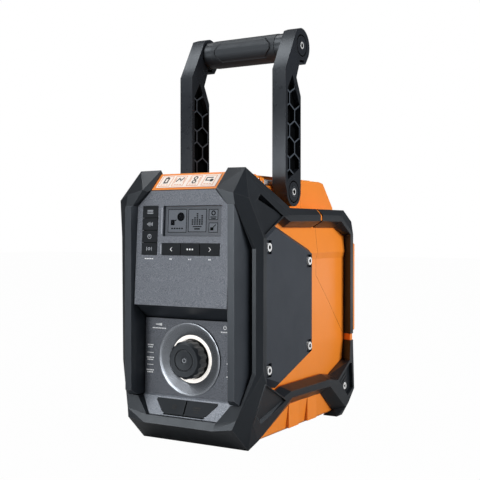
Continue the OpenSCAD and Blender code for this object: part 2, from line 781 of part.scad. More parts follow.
module upper_fascia() {
    color(panel_grey) difference() {
        on_fascia() along_y(0, fascia_t)
            polygon(mirrored([[39, 115.4], [pane_hw - 0.3, 99.9], [pane_hw - 0.3, 0]]));
        on_fascia() {
            box([mode_x, -1, mode_z], [mode_x + mode_w, 9, mode_z + 4 * mode_h]);
            box([preset_x, -1, preset_z], [preset_x + 3 * preset_w, 9, preset_z + preset_h]);
            box([lens_x0, -1, lens_z0], [lens_x1, 9, lens_z1]);
        }
    }
}

module lower_fascia() {
    color("#4a4e56") difference() {
        intersection() {
            along_x(-far, far) polygon([
                [recess_y, ceiling_z], [recess_low_y, ledge_z], [crease_y, crease_z], [port_y, port_z + 0.2],
                [port_y + fascia_t, port_z + 0.2], [crease_y + fascia_t, crease_z],
                [recess_low_y + fascia_t, ledge_z], [recess_y + fascia_t, ceiling_z]]);
            along_y(-far, far) polygon(mirrored([[pane_hw - 0.4, ceiling_z - 0.2], [pane_hw - 0.4, 47], [41.3, 29.4]]));
        }
        rod_y(-far, far, 0, dial_z, bezel_d / 2 + fit);
        port_cut(0);
        port_pin_hole();
    }
}

module display_lens() {
    color([0.35, 0.38, 0.4, 0.8]) on_fascia()
        box([lens_x0 + 0.1, 0.8, lens_z0 + 0.1], [lens_x1 - 0.1, 2.6, lens_z1 - 0.1]);
}

module display_module() {
    color("#7d8580") on_fascia()
        box([lens_x0 + 0.4, 2.9, lens_z0 + 0.4], [lens_x1 - 0.4, key_board_y, lens_z1 - 0.4]);
}

key_board_y = 9.4;     // front face of the keypad board, behind the fascia's front face

module keypad_board() {
    color(board_green) difference() {
        on_fascia() box([-50, key_board_y, 46], [49, key_board_y + board_t, 96]);
    }
}

// A push button: a cap in the fascia with a stem that ends short of its switch on the board
module button(w, h) {
    color("#24272b") union() {
        box([0, -0.5, 0], [w, 4, h]);
        box([w / 2 - 2, 4, h / 2 - 2], [w / 2 + 2, key_board_y - button_travel - clear, h / 2 + 2]);
    }
}

module mode_button(i) {
    on_fascia() mode_cell(i, button_gap) button(mode_w - 2 * button_gap, mode_h - 2 * button_gap);
}

module preset_button(i) {
    on_fascia() preset_cell(i, button_gap) button(preset_w - 2 * button_gap, preset_h - 2 * button_gap);
}

// ---------- dial ----------

bezel_r = bezel_d / 2;
bezel_y = -114.6;              // front edge of the bezel
ring_r = knob_d / 2 + 5.1;     // the light ring shows round the knob
ring_t = 3.8;
ring_y = -109.4;               // front face of the light ring
knob_back_y = ring_y - 1.5;
knob_front_y = knob_back_y - knob_len;
shaft_r = 3;
push_travel = 0.8;

// A turned piece on the dial's axis: profile points are radius and distance towards the user
module turned_y(profile) {
    translate([0, 0, dial_z]) rotate([90, 0, 0]) rotate_extrude($fn = 96) polygon(profile);
}

module dial_bezel() {
    color("#5a5f66") turned_y([
        [bezel_r, -bezel_y], [bezel_r, -bezel_y - 3.4], [ring_r + 2, -ring_y - 2.6], [ring_r + 2, -board_y],
        [ring_r, -board_y], [ring_r, -ring_y + 0.4], [bezel_r - 1.6, -bezel_y]]);
}

module light_ring() {
    color(white) turned_y([
        [ring_r - ring_t, -board_y], [ring_r, -board_y], [ring_r, -ring_y], [ring_r - ring_t, -ring_y]]);
}

module control_board() {
    color(board_green) difference() {
        box([-49, board_y, 35], [49, board_y + board_t, 128]);
        rod_y(-far, far, 0, dial_z, 2.2);
    }
}

encoder_w = 12.4;
encoder_front_y = board_y - 5.2;
bushing_len = 1.5;
plunger_r = 4.4;

// The encoder's case holds the switch plunger behind the shaft
module encoder_body() {
    color("#8d9196") difference() {
        union() {
            box([-encoder_w / 2, encoder_front_y, dial_z - encoder_w / 2],
                [encoder_w / 2, board_y, dial_z + encoder_w / 2]);
            rod_y(encoder_front_y - bushing_len, encoder_front_y, 0, dial_z, 4.6);
        }
        rod_y(-far, board_y - 1, 0, dial_z, shaft_r + fit);
        rod_y(board_y - 4.2, board_y - 1, 0, dial_z, plunger_r + fit);
    }
}

// The shaft turns in this cup, and both move in together when the dial is pressed
module encoder_plunger() {
    color(black) difference() {
        rod_y(board_y - 4.1, board_y - 1.1 - push_travel, 0, dial_z, plunger_r);
        rod_y(-far, board_y - 1.9 - push_travel, 0, dial_z, shaft_r + fit);
    }
}

module dial_shaft() {
    color(steel) rod_y(knob_front_y + 3.2, board_y - 2 - push_travel, 0, dial_z, shaft_r);
}

flute_n = 14;

module dial_knob() {
    color("#2c2f33") difference() {
        turned_y([
            [shaft_r, -knob_back_y + 1], [shaft_r, -knob_front_y - 3.2], [0, -knob_front_y - 3.2],
            [0, -knob_front_y - 1], [3.4, -knob_front_y - 1], [3.9, -knob_front_y - 0.5],
            [knob_d / 2 - 9.6, -knob_front_y - 0.2], [knob_d / 2 - 8.9, -knob_front_y - 1],
            [knob_d / 2 - 8.2, -knob_front_y - 1], [knob_d / 2 - 7.6, -knob_front_y - 0.2],
            [knob_d / 2 - 3, -knob_front_y], [knob_d / 2, -knob_front_y - 2.6],
            [knob_d / 2, -knob_back_y], [knob_d / 2 - 2, -knob_back_y], [knob_d / 2 - 2.4, -knob_front_y - 4.4],
            [shaft_r + 2.4, -knob_front_y - 4.4], [shaft_r + 2.4, -knob_back_y + 1]]);
        for (i = [0:flute_n - 1]) translate([0, knob_back_y + 1, dial_z]) rotate([90, i * 360 / flute_n, 0])
            translate([knob_d / 2 + 2.8, 0, 0]) cylinder(h = knob_len + 2, r = 4, $fn = 32);
    }
}

// ---------- ports ----------

flap_t = 2.4;
flap_top_hw = 36;
flap_low_hw = 24;
flap_h = 16;
flap_low = 1.6;        // height of the flaps' lower edge above the fascia's lower edge
flap_split = 0.7;
flap_gap = 0.5;
flap_pin_r = 0.6;
knuckle_r = 1.4;
hinge_dy = 1;
hinge_dz = flap_low + knuckle_r;
ear_h = 0.7;           // the fascia's ears beside the knuckles end this far above the pin
notch_h = 1.3;         // and the flaps are cut away this far above it

// A frame that lies on the sloping port panel: Z runs up the slope, -Y points out of it
module on_ports() {
    translate([0, port_y, port_z]) rotate([-port_tilt, 0, 0]) children();
}

function slant_hw(z) = flap_low_hw + (z - flap_low) * (flap_top_hw - flap_low_hw) / (flap_h - 2);

// Outline of both flaps together, grown by e, straight beside the hinge up to the height z
module flap_outline(e, z) {
    polygon(mirrored([[flap_low_hw + e, flap_low - e], [flap_low_hw + e, z], [slant_hw(z) + e, z],
        [flap_top_hw + e, flap_low + flap_h - 2], [flap_top_hw + e, flap_low + flap_h + e]]));
}

// Opening under the two flaps, which reaches deep behind the panel
module port_cut(deep) {
    on_ports() along_y(-9, 4 + 4 * deep) flap_outline(flap_gap, hinge_dz + ear_h);
}

// A flap and its knuckle, which rounds the lower edge; seen from the front it lies between x0 and x1
module port_flap(x0, x1) {
    color("#2b2e33") on_ports() difference() {
        union() {
            intersection() {
                along_y(-0.4, flap_t) flap_outline(0, hinge_dz + notch_h);
                box([x0, -far, hinge_dz], [x1, far, far]);
            }
            rod_x(max(x0, -flap_low_hw), min(x1, flap_low_hw), hinge_dy, hinge_dz, knuckle_r);
        }
        rod_x(-far, far, hinge_dy, hinge_dz, flap_pin_r + fit);
    }
}

module aux_flap() {
    port_flap(-far, -flap_split);
}

module usb_flap() {
    port_flap(flap_split, far);
}

// The pin's ends sit in the fascia on both sides of the flaps
module port_pin_hole() {
    on_ports() rod_x(-flap_low_hw - 5, flap_low_hw + 5, hinge_dy, hinge_dz, flap_pin_r);
}

module port_pins() {
    color(steel) port_pin_hole();
}

usb_at = [15, 41.5];
aux_at = [-15, 41.5];
socket_front_y = -113.5;

module usb_socket() {
    color(steel) difference() {
        box([usb_at[0] - 7, socket_front_y, usb_at[1] - 3.6], [usb_at[0] + 7, board_y, usb_at[1] + 3.6]);
        box([usb_at[0] - 6.2, -far, usb_at[1] - 2.5], [usb_at[0] + 6.2, board_y - 1, usb_at[1] + 2.5]);
    }
}

module aux_socket() {
    color(black) difference() {
        rod_y(socket_front_y, board_y, aux_at[0], aux_at[1], 4);
        rod_y(-far, board_y - 1, aux_at[0], aux_at[1], 1.8);
    }
}

// ---------- label on the nose ----------

nose_lean = atan2(nose_top_y - nose_y, crown_z - nose_z);

module feature_label() {
    color(white) translate([0, nose_y, nose_z]) rotate([-nose_lean, 0, 0])
        box([-35.5, -0.5, 3], [35.5, 0, 21.2]);
}

// ---------- battery bay, boards and inlet ----------

module battery_tray() {
    color(black) difference() {
        box([-bay_hw - tray_wall, bay_y - tray_wall, bay_z0 - tray_wall],
            [bay_hw + tray_wall, rear_y, bay_z1 + tray_wall]);
        box([-bay_hw, bay_y, bay_z0], [bay_hw, far, bay_z1]);
    }
    color(black) for (x = [-36, 36], z = [bay_z0 + 12, bay_z1 - 12])
        rod_y(bay_y - tray_wall - 8, bay_y - tray_wall, x, z, 3);
}

module battery_pack() {
    color("#2b2e33") difference() {
        box([-pack_w / 2, bay_y + 2.5, bay_z0], [pack_w / 2, bay_y + 2.5 + pack_d, bay_z0 + pack_h]);
        box([-18, 0, bay_z0 + 20], [18, bay_y + 8, bay_z1 - 20]);
    }
}

module terminal_block() {
    color("#c9a24a") difference() {
        box([-15, bay_y, bay_z0 + 24], [15, bay_y + 7, bay_z1 - 24]);
        for (x = [-9, 0, 9]) box([x - 1, bay_y + 3, 0], [x + 1, far, far]);
    }
}

module main_board() {
    color(board_green) box([-41, bay_y - tray_wall - 8 - board_t, bay_z0 + 4],
        [41, bay_y - tray_wall - 8, bay_z1 - 4]);
}

inlet_at = [30, 62];
inlet_r = 6;

module inlet_hole() {
    rod_y(rear_y - 8, far, inlet_at[0], inlet_at[1], inlet_r);
}

module dc_inlet() {
    color(black) difference() {
        union() {
            rod_y(rear_y - 16, rear_y, inlet_at[0], inlet_at[1], inlet_r);
            rod_y(rear_y, rear_y + 1.6, inlet_at[0], inlet_at[1], inlet_r + 2);
        }
        rod_y(rear_y - 12, far, inlet_at[0], inlet_at[1], 2.9);
    }
    color(steel) rod_y(rear_y - 12, rear_y - 2, inlet_at[0], inlet_at[1], 1);
}

module case_screws() {
    color(steel) for (at = case_screws_at) difference() {
        union() {
            rod_y(at[2], at[2] + 3, at[0], at[1], case_screw_head_r);
            rod_y(at[2] - case_screw_len, at[2], at[0], at[1], case_screw_r);
        }
        translate([at[0], at[2] + 1.4, at[1]]) rotate([-90, 0, 0]) cylinder(h = 3, r = 1.8, $fn = 6);
    }
}

// ---------- battery door ----------

door_y = bumper_rear_y + 0.4;
door_hw = 72;
door_step = 1.5;       // step round the door's outer face
door_z0 = 86;
door_z1 = 213;
door_pin_y = door_y + 4.3;
door_knuckle_r = 3.2;
door_pin_z = door_z0 - door_knuckle_r - 0.4;
door_pin_r = 1.5;
door_knuckles = [-30, 30];
latch_w = 26;
latch_h = 16;
latch_travel = 3;

module door_outline(e) {
    polygon(mirrored([[door_hw - 12 - e, door_z0 + e], [door_hw - e, door_z0 + 12 + e],
        [door_hw - e, door_z1 - 14 - e], [door_hw - 14 - e, door_z1 - e]]));
}

module battery_door() {
    color(orange) difference() {
        union() {
            difference() {
                union() {
                    along_y(door_y, door_y + door_t - door_step) door_outline(0);
                    along_y(door_y + door_t - door_step, door_y + door_t) door_outline(door_step);
                }
                along_y(door_y - 1, door_y + door_t - 3) door_outline(3);
            }
            box([-latch_w / 2 - 4, door_y, door_z1 - latch_h - 10], [latch_w / 2 + 4, door_y + door_t - 3, door_z1 - 3]);
            for (x = door_knuckles) hull() {
                rod_x(x - 8, x + 8, door_pin_y, door_pin_z, door_knuckle_r);
                box([x - 8, door_y + 2, door_z0], [x + 8, door_y + 8, door_z0 + 3]);
            }
        }
        rod_x(-far, far, door_pin_y, door_pin_z, door_pin_r + fit);
        latch_pocket();
    }
}

// Pocket of the sliding latch, open to the outside and at the door's top edge
module latch_pocket() {
    low = door_z1 - latch_h - 6 - latch_travel - clear;
    box([-latch_w / 2 - clear, door_y + door_t - 7, low], [latch_w / 2 + clear, far, door_z1 - 6 + clear]);
    box([-6 - clear, door_y + 3 - clear, low], [6 + clear, door_y + door_t - 6, far]);
}

module door_latch() {
    color(charcoal) union() {
        box([-latch_w / 2, door_y + door_t - 7 + 0.05, door_z1 - latch_h - 6],
            [latch_w / 2, door_y + door_t, door_z1 - 6]);
        box([-6, door_y + 3, door_z1 - latch_h - 2], [6, door_y + door_t - 6.5, door_z1 + 2.2]);
        for (i = [0:3]) box([-latch_w / 2 + 3, door_y + door_t, door_z1 - latch_h - 3 + i * 3],
            [latch_w / 2 - 3, door_y + door_t + 1, door_z1 - latch_h - 1.6 + i * 3]);
    }
}

// Ears on the housing carry the door's pin between and beside the knuckles
module door_ears() {
    for (x = [-42, 0, 42]) hull() {
        rod_x(x - 3, x + 3, door_pin_y, door_pin_z, door_knuckle_r);
        box([x - 3, rear_y - 1, door_pin_z - 6], [x + 3, rear_y, door_pin_z + 1]);
    }
}

module door_pin() {
    color(steel) rod_x(-45, 45, door_pin_y, door_pin_z, door_pin_r);
}

module main_housing() {
    color(orange) difference() {
        union() {
            intersection() {
                housing_shell();
                seam_side(true);
            }
            door_ears();
        }
        rod_x(-45, 45, door_pin_y, door_pin_z, door_pin_r);
    }
}

module rear_housing() {
    color(orange) intersection() {
        housing_shell();
        seam_side(false);
    }
}

// ---------- handle ----------

grip_y = 4.2;
top_r = 18.6;
arm_r = 15.5;
arm_front_y = pivot_y - 19;
arm_back_y = pivot_y + 16;
bend_z = grip_z - 29.4;
top_corner = [grip_y - 11.5, grip_z + 15.2];

// Points of an arc round a centre, from angle a0 to a1
function arc(centre, r, a0, a1) = [for (i = [0:32]) let (a = a0 + (a1 - a0) * i / 32)
    centre + r * [cos(a), sin(a)]];

// Profile of an arm seen from the right, from the round end at the pivot up the back and down the front
arm_outline = concat(
    arc([pivot_y, pivot_z], arm_r, 180, 360),
    [[arm_back_y, pivot_z + 8], [arm_back_y, grip_z - 55], [-8, grip_z - 36], [-1, grip_z - 20],
        [13, grip_z - 19], [17, grip_z - 14]],
    arc([grip_y, grip_z], top_r, -40, 96),
    [top_corner, [arm_front_y, bend_z], [arm_front_y, pivot_z + 8]]);
arm_notch = [[-1, grip_z - 18.6], [9, grip_z - 17.8], [9, grip_z - 15.2], [-1, grip_z - 16]];

// Window for the honeycomb, seen from the right
window_points = [
    [arm_front_y + 4.8, pivot_z + 11.6], [arm_back_y - 0.8, pivot_z + 26.4], [arm_back_y - 0.8, bend_z - 38],
    [arm_front_y + 15.7, bend_z - 4.7], [arm_front_y + 4.8, bend_z - 20.4]];

window_depth = 0.8;
cell_r = 11.5;
cell_width = 22.6;     // pitch of the cells across the arm
cell_rows = 7;
rib_t = 1.6;

module honeycomb_cells() {
    intersection() {
        polygon(window_points);
        for (row = [0:cell_rows], col = [-1:1])
            translate([arm_front_y + 10.8 + (col + (row % 2) / 2) * cell_width, bend_z - 12.8 - row * cell_r * 1.5])
                scale([cell_width / (cell_r * sqrt(3)), 1]) rotate(30) circle(cell_r - rib_t / 2 / cos(30), $fn = 6);
    }
}

cap_ring_r = 12;

module handle_arm() {
    color(charcoal) difference() {
        along_x(arm_x0, arm_x1) polygon(arm_outline);
        along_x(arm_x0 - 1, arm_x1 + 1) polygon(arm_notch);
        for (x = [arm_x0, arm_x1]) {
            along_x(x - window_depth, x + window_depth) polygon(window_points);
            along_x(x - cell_depth, x + cell_depth) honeycomb_cells();
        }
        rod_x(arm_x0 - 1, arm_x1 + 1, pivot_y, pivot_z, pivot_r + fit);
        rod_x(arm_x1 - bolt_head_t - 0.4, arm_x1 + 1, pivot_y, pivot_z, bolt_head_r + clear);
        rod_x(arm_x0 - 1, arm_x1 + 1, grip_y, grip_z, 3);
        rod_x(arm_x1 - 3, arm_x1 + 1, grip_y, grip_z, 4.6);
        ring_groove(pivot_z, pivot_y);
        ring_groove(grip_z, grip_y);
    }
}

// Shallow groove round a screw in an arm's outer face
module ring_groove(z, y) {
    difference() {
        rod_x(arm_x1 - 1.2, arm_x1 + 1, y, z, cap_ring_r);
        rod_x(arm_x1 - 2, arm_x1 + 2, y, z, cap_ring_r - 1.6);
    }
}

module pivot_bolts() {
    color(steel) both_sides() difference() {
        union() {
            rod_x(crown_hw - bolt_in, arm_x1 - bolt_head_t, pivot_y, pivot_z, pivot_r);
            rod_x(arm_x1 - bolt_head_t, arm_x1 + 0.4, pivot_y, pivot_z, bolt_head_r);
        }
        hex_socket_x(arm_x1 + 0.4, [pivot_y, pivot_z], 2.6, 2.4);
    }
}

module grip_core() {
    color(charcoal) difference() {
        rod_x(-arm_x0, arm_x0, grip_y, grip_z, grip_d / 2 - 1);
        sleeve_seat();
        both_sides() rod_x(arm_x0 - 14, arm_x0 + 1, grip_y, grip_z, 3);
    }
}

sleeve_hw = 40;

module sleeve_seat() {
    difference() {
        rod_x(-sleeve_hw, sleeve_hw, grip_y, grip_z, grip_d);
        rod_x(-far, far, grip_y, grip_z, grip_d / 2 - 4);
    }
}

module grip_sleeve() {
    color("#33373c") difference() {
        rod_x(-sleeve_hw, sleeve_hw, grip_y, grip_z, grip_d / 2);
        rod_x(-far, far, grip_y, grip_z, grip_d / 2 - 4);
    }
}

module grip_bolts() {
    color(steel) both_sides() difference() {
        union() {
            rod_x(arm_x0 - 14, arm_x1 - 3, grip_y, grip_z, 3);
            rod_x(arm_x1 - 3, arm_x1 + 0.4, grip_y, grip_z, 4.6);
        }
        hex_socket_x(arm_x1 + 0.4, [grip_y, grip_z], 2.4, 2.4);
    }
}

// ---------- antenna ----------

middle_r = mast_r - mast_wall - fit;
tip_r = middle_r - mast_wall - fit;
mast_y0 = antenna_y + 5;
tip_cap_len = 6;

module antenna_pin() {
    color(steel) rod_x(channel_x0 - 2, crown_hw - 0.5, antenna_y, antenna_z, antenna_pin_r);
}

module antenna_knuckle() {
    color(steel) difference() {
        union() {
            rod_x(channel_x0 + clear, channel_x1 - clear, antenna_y, antenna_z, mast_r + 1);
            rod_y(antenna_y, mast_y0 + 6, antenna_x, antenna_z, mast_r + 0.9);
        }
        rod_x(0, far, antenna_y, antenna_z, antenna_pin_r + fit);
        rod_y(mast_y0, far, antenna_x, antenna_z, mast_r);
    }
}

module mast_lower() {
    color(steel) difference() {
        rod_y(mast_y0, mast_y0 + mast_len, antenna_x, antenna_z, mast_r);
        rod_y(mast_y0 + 2, far, antenna_x, antenna_z, mast_r - mast_wall);
    }
}

module mast_middle() {
    color(steel) difference() {
        rod_y(mast_y0 + 2.3, mast_y0 + mast_len + 3, antenna_x, antenna_z, middle_r);
        rod_y(mast_y0 + 4, far, antenna_x, antenna_z, middle_r - mast_wall);
    }
}

module mast_tip() {
    color(steel) union() {
        rod_y(mast_y0 + 4.3, mast_y0 + mast_len + 4, antenna_x, antenna_z, tip_r);
        rod_y(mast_y0 + mast_len + 3.3, mast_y0 + mast_len + 3.3 + tip_cap_len, antenna_x, antenna_z, mast_r);
    }
}

main_housing();
rear_housing();
front_bumper();
rear_rail();  // rear_rail_right
left_of_it() rear_rail();  // rear_rail_left
corner_guard();  // corner_guard_right
left_of_it() corner_guard();  // corner_guard_left
guard_screws();
feature_label();
control_housing();
upper_fascia();
lower_fascia();
display_lens();
display_module();
keypad_board();
mode_button(0);  // mode_button_1
mode_button(1);  // mode_button_2
mode_button(2);  // mode_button_3
mode_button(3);  // mode_button_4
preset_button(0);  // preset_button_1
preset_button(1);  // preset_button_2
preset_button(2);  // preset_button_3
dial_bezel();
light_ring();
control_board();
encoder_body();
dial_shaft();
encoder_plunger();
dial_knob();
aux_flap();
usb_flap();
port_pins();
usb_socket();
aux_socket();
speaker_plate();  // speaker_plate_right
left_of_it() speaker_plate();  // speaker_plate_left
plate_screws();
speaker_baskets();
speaker_cones();
speaker_magnets();
battery_tray();
battery_pack();
terminal_block();
main_board();
battery_door();
door_pin();
door_latch();
dc_inlet();
case_screws();
pivot_bolts();
handle_arm();  // handle_arm_right
left_of_it() handle_arm();  // handle_arm_left
grip_core();
grip_sleeve();
grip_bolts();
antenna_pin();
antenna_knuckle();
mast_lower();
mast_middle();
mast_tip();
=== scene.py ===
import json
import math

import bpy
from mathutils import Matrix, Vector

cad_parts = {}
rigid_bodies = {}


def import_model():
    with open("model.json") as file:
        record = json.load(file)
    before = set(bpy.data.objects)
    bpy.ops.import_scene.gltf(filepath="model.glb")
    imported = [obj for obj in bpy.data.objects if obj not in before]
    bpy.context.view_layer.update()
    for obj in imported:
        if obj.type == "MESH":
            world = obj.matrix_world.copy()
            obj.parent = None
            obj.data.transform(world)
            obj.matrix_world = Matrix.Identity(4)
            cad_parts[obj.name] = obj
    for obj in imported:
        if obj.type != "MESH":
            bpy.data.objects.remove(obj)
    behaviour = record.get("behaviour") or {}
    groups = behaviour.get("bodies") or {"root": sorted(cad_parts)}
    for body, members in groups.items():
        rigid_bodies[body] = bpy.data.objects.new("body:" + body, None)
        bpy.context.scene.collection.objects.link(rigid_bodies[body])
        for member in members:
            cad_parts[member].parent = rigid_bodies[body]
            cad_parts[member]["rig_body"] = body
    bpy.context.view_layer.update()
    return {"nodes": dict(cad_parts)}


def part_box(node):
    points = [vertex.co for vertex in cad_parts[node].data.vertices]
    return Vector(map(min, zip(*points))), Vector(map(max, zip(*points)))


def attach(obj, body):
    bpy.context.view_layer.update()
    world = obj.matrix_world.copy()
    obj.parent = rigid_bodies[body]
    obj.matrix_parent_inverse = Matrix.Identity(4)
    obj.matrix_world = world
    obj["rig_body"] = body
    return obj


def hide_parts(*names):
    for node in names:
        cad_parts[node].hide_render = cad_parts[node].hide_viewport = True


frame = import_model()
nodes = frame["nodes"]
MM = 0.001

# ---- Housing: the orange front and rear halves -------------------------------------------------
# Two ABS mouldings with a fine spark-eroded grain, screwed together at the slanting seam. Every arris of
# the mould has a small radius, and the seam stays an open line.

housing_orange = "#ee882b"
housing_edge = 0.8 * MM
grain_pitch = 0.9 * MM
edge_reach = 0.9 * MM
gap_reach = 1.6 * MM
arris_steps = 2


def linear(colour):
    """A hex colour as the shader's linear values."""
    parts = [int(colour[i:i + 2], 16) / 255 for i in (1, 3, 5)]
    return tuple(c / 12.92 if c <= 0.04045 else ((c + 0.055) / 1.055) ** 2.4 for c in parts) + (1.0,)


def new_group(name, inputs, outputs):
    """An empty shader group with named inputs and outputs."""
    group = bpy.data.node_groups.new(name, "ShaderNodeTree")
    for way, sockets in [("INPUT", inputs), ("OUTPUT", outputs)]:
        for socket, kind in sockets:
            group.interface.new_socket(name=socket, in_out=way, socket_type=kind)
    return group, group.nodes.new("NodeGroupInput"), group.nodes.new("NodeGroupOutput")


def add(tree, kind, sockets=(), data_type=None):
    """A new shader node of this kind, with values on some of its input sockets."""
    made = tree.nodes.new(kind)
    if data_type:
        made.data_type = data_type
    for socket, value in dict(sockets).items():
        made.inputs[socket].default_value = value
    return made


def new_material(name):
    """A material, its node tree, its shader, and the Object coordinates that its patterns lie on."""
    made = bpy.data.materials.new(name)
    made.use_nodes = True
    tree = made.node_tree
    place = tree.nodes.new("ShaderNodeTexCoord").outputs["Object"]
    return made, tree, tree.nodes["Principled BSDF"], place


def moulded_grain():
    """Fine bumps of an eroded mould, with a slow drift of tone and gloss across the surface."""
    group, given, out = new_group(
        "moulded_grain", [("Vector", "NodeSocketVector"), ("Scale", "NodeSocketFloat")],
        [("Height", "NodeSocketFloat"), ("Tone", "NodeSocketFloat"), ("Gloss", "NodeSocketFloat")])
    fine = add(group, "ShaderNodeTexNoise", {"Detail": 3, "Roughness": 0.65})
    slow = add(group, "ShaderNodeTexNoise", {"Scale": 26, "Detail": 5})
    rub = add(group, "ShaderNodeTexNoise", {"Scale": 70, "Detail": 4})
    link = group.links.new
    link(given.outputs["Scale"], fine.inputs["Scale"])
    for noise, result in [(fine, "Height"), (slow, "Tone"), (rub, "Gloss")]:
        link(given.outputs["Vector"], noise.inputs["Vector"])
        link(noise.outputs["Fac"], out.inputs[result])
    return group


def painted_light_masks():
    """Two masks: a painted highlight on the rounded arrises, 1 on an edge, and painted shade in the gaps, 1
    deep in a seam.
    """
    group, given, out = new_group(
        "painted_light_masks", [("Vector", "NodeSocketVector")],
        [("Highlight", "NodeSocketFloat"), ("Gap", "NodeSocketFloat")])
    # Painted shade: ambient occlusion finds the seams and gaps where shade falls.
    shut_in = add(group, "ShaderNodeAmbientOcclusion", {"Distance": gap_reach})
    shut_in.samples = 4
    deep = add(group, "ShaderNodeMapRange", {"From Min": 0.9, "From Max": 0.45})
    # Painted highlight: the bevel normal finds the rounded arrises, and noise breaks the highlight into
    # patches.
    rounded = add(group, "ShaderNodeBevel", {"Radius": edge_reach})
    rounded.samples = 4
    plain = group.nodes.new("ShaderNodeNewGeometry")
    match = group.nodes.new("ShaderNodeVectorMath")
    match.operation = "DOT_PRODUCT"
    spread = add(group, "ShaderNodeMapRange", {"From Min": 0.998, "From Max": 0.9})
    highlight_patches = add(group, "ShaderNodeTexNoise", {"Scale": 160})
    breaks = add(group, "ShaderNodeMapRange", {"From Min": 0.3, "From Max": 0.6, "To Min": 0.45})
    both = group.nodes.new("ShaderNodeMath")
    both.operation = "MULTIPLY"
    link = group.links.new
    link(rounded.outputs["Normal"], match.inputs[0])
    link(plain.outputs["Normal"], match.inputs[1])
    link(match.outputs["Value"], spread.inputs["Value"])
    link(given.outputs["Vector"], highlight_patches.inputs["Vector"])
    link(highlight_patches.outputs["Fac"], breaks.inputs["Value"])
    link(spread.outputs["Result"], both.inputs[0])
    link(breaks.outputs["Result"], both.inputs[1])
    link(both.outputs["Value"], out.inputs["Highlight"])
    link(shut_in.outputs["AO"], deep.inputs["Value"])
    link(deep.outputs["Result"], out.inputs["Gap"])
    return group


grain_group = moulded_grain()
painted_light_group = painted_light_masks()


def plastic(name, colour, rough, pitch=grain_pitch, bump=0.25, tone=0.16, edge=0.25, specular=0.5,
            sheen_tint=(1, 1, 1), gap=1.0):
    """A moulded plastic. Its colour drifts by tone, takes a painted highlight on its arrises by edge, and
    painted shade in its seams by gap.
    """
    made, tree, skin, place = new_material(name)
    link = tree.links.new
    base = Vector(linear(colour)[:3])
    skin.inputs["Specular IOR Level"].default_value = specular
    skin.inputs["Specular Tint"].default_value = (*sheen_tint, 1)
    grain = tree.nodes.new("ShaderNodeGroup")
    grain.node_tree = grain_group
    grain.inputs["Scale"].default_value = 1 / pitch
    masks = tree.nodes.new("ShaderNodeGroup")
    masks.node_tree = painted_light_group
    link(place, grain.inputs["Vector"])
    link(place, masks.inputs["Vector"])
    dark, light = base * (1 - tone), base * (1 + tone)
    under = add(tree, "ShaderNodeMix", {"A": (*dark, 1), "B": (*light, 1)}, "RGBA")
    link(grain.outputs["Tone"], under.inputs["Factor"])
    # A painted highlight that pales the arrises, and painted shade that darkens the seams.
    painted_highlight = [min(1, c * 1.8 + 0.10) for c in base]
    shadow = [c * c * 0.5 for c in base]
    for mask, strength, shade in [("Highlight", edge, painted_highlight), ("Gap", gap, shadow)]:
        share = tree.nodes.new("ShaderNodeMath")
        share.operation = "MULTIPLY"
        share.inputs[1].default_value = strength
        over = add(tree, "ShaderNodeMix", {"B": (*shade, 1)}, "RGBA")
        link(masks.outputs[mask], share.inputs[0])
        link(share.outputs["Value"], over.inputs["Factor"])
        link(under.outputs["Result"], over.inputs["A"])
        under = over
    link(under.outputs["Result"], skin.inputs["Base Color"])
    gloss = add(tree, "ShaderNodeMapRange", {"To Min": rough - 0.05, "To Max": rough + 0.07})
    link(grain.outputs["Gloss"], gloss.inputs["Value"])
    link(gloss.outputs["Result"], skin.inputs["Roughness"])
    relief = add(tree, "ShaderNodeBump", {"Strength": bump, "Distance": 0.12 * MM})
    link(grain.outputs["Height"], relief.inputs["Height"])
    link(relief.outputs["Normal"], skin.inputs["Normal"])
    return made


def take(*objects):
    """Selects these objects and nothing else, with the first one active."""
    bpy.ops.object.select_all(action="DESELECT")
    for thing in objects:
        thing.select_set(True)
    bpy.context.view_layer.objects.active = objects[0]


def merged_copy(node, level):
    """A copy of a CAD node whose triangles are joined into whole faces where they turn less than level."""
    piece = bpy.data.objects.new(node + "_skin", nodes[node].data.copy())
    bpy.context.scene.collection.objects.link(piece)
    take(piece)
    bpy.ops.mesh.customdata_custom_splitnormals_clear()
    bpy.ops.object.mode_set(mode="EDIT")
    bpy.ops.mesh.select_all(action="SELECT")
    bpy.ops.mesh.remove_doubles(threshold=0.004 * MM)
    bpy.ops.mesh.dissolve_limited(angle_limit=math.radians(level))
    bpy.ops.object.mode_set(mode="OBJECT")
    return piece


def repaint(piece, finish, chosen):
    """Gives finish to the faces for which chosen(middle, normal, low, high) is true."""
    piece.data.materials.append(finish)
    index = len(piece.data.materials) - 1
    for face in piece.data.polygons:
        corners = [piece.data.vertices[i].co for i in face.vertices]
        low = Vector([min(c[k] for c in corners) for k in range(3)])
        high = Vector([max(c[k] for c in corners) for k in range(3)])
        if chosen(face.center, face.normal, low, high):
            face.material_index = index


def soften(piece, edge, turn, flats=True):
    """Rounds the arrises sharper than turn. The shading is smooth over them, and level on any broad flats."""
    rounding = piece.modifiers.new("arris", "BEVEL")
    rounding.width = edge
    rounding.segments = arris_steps
    rounding.limit_method = "ANGLE"
    rounding.angle_limit = math.radians(turn)
    rounding.use_clamp_overlap = True
    rounding.harden_normals = False
    take(piece)
    bpy.ops.object.modifier_apply(modifier=rounding.name)
    bpy.ops.object.shade_smooth_by_angle(angle=math.radians(50))
    if flats:
        level = piece.modifiers.new("level", "WEIGHTED_NORMAL")
        level.weight = 100
        level.keep_sharp = True
        bpy.ops.object.modifier_apply(modifier=level.name)


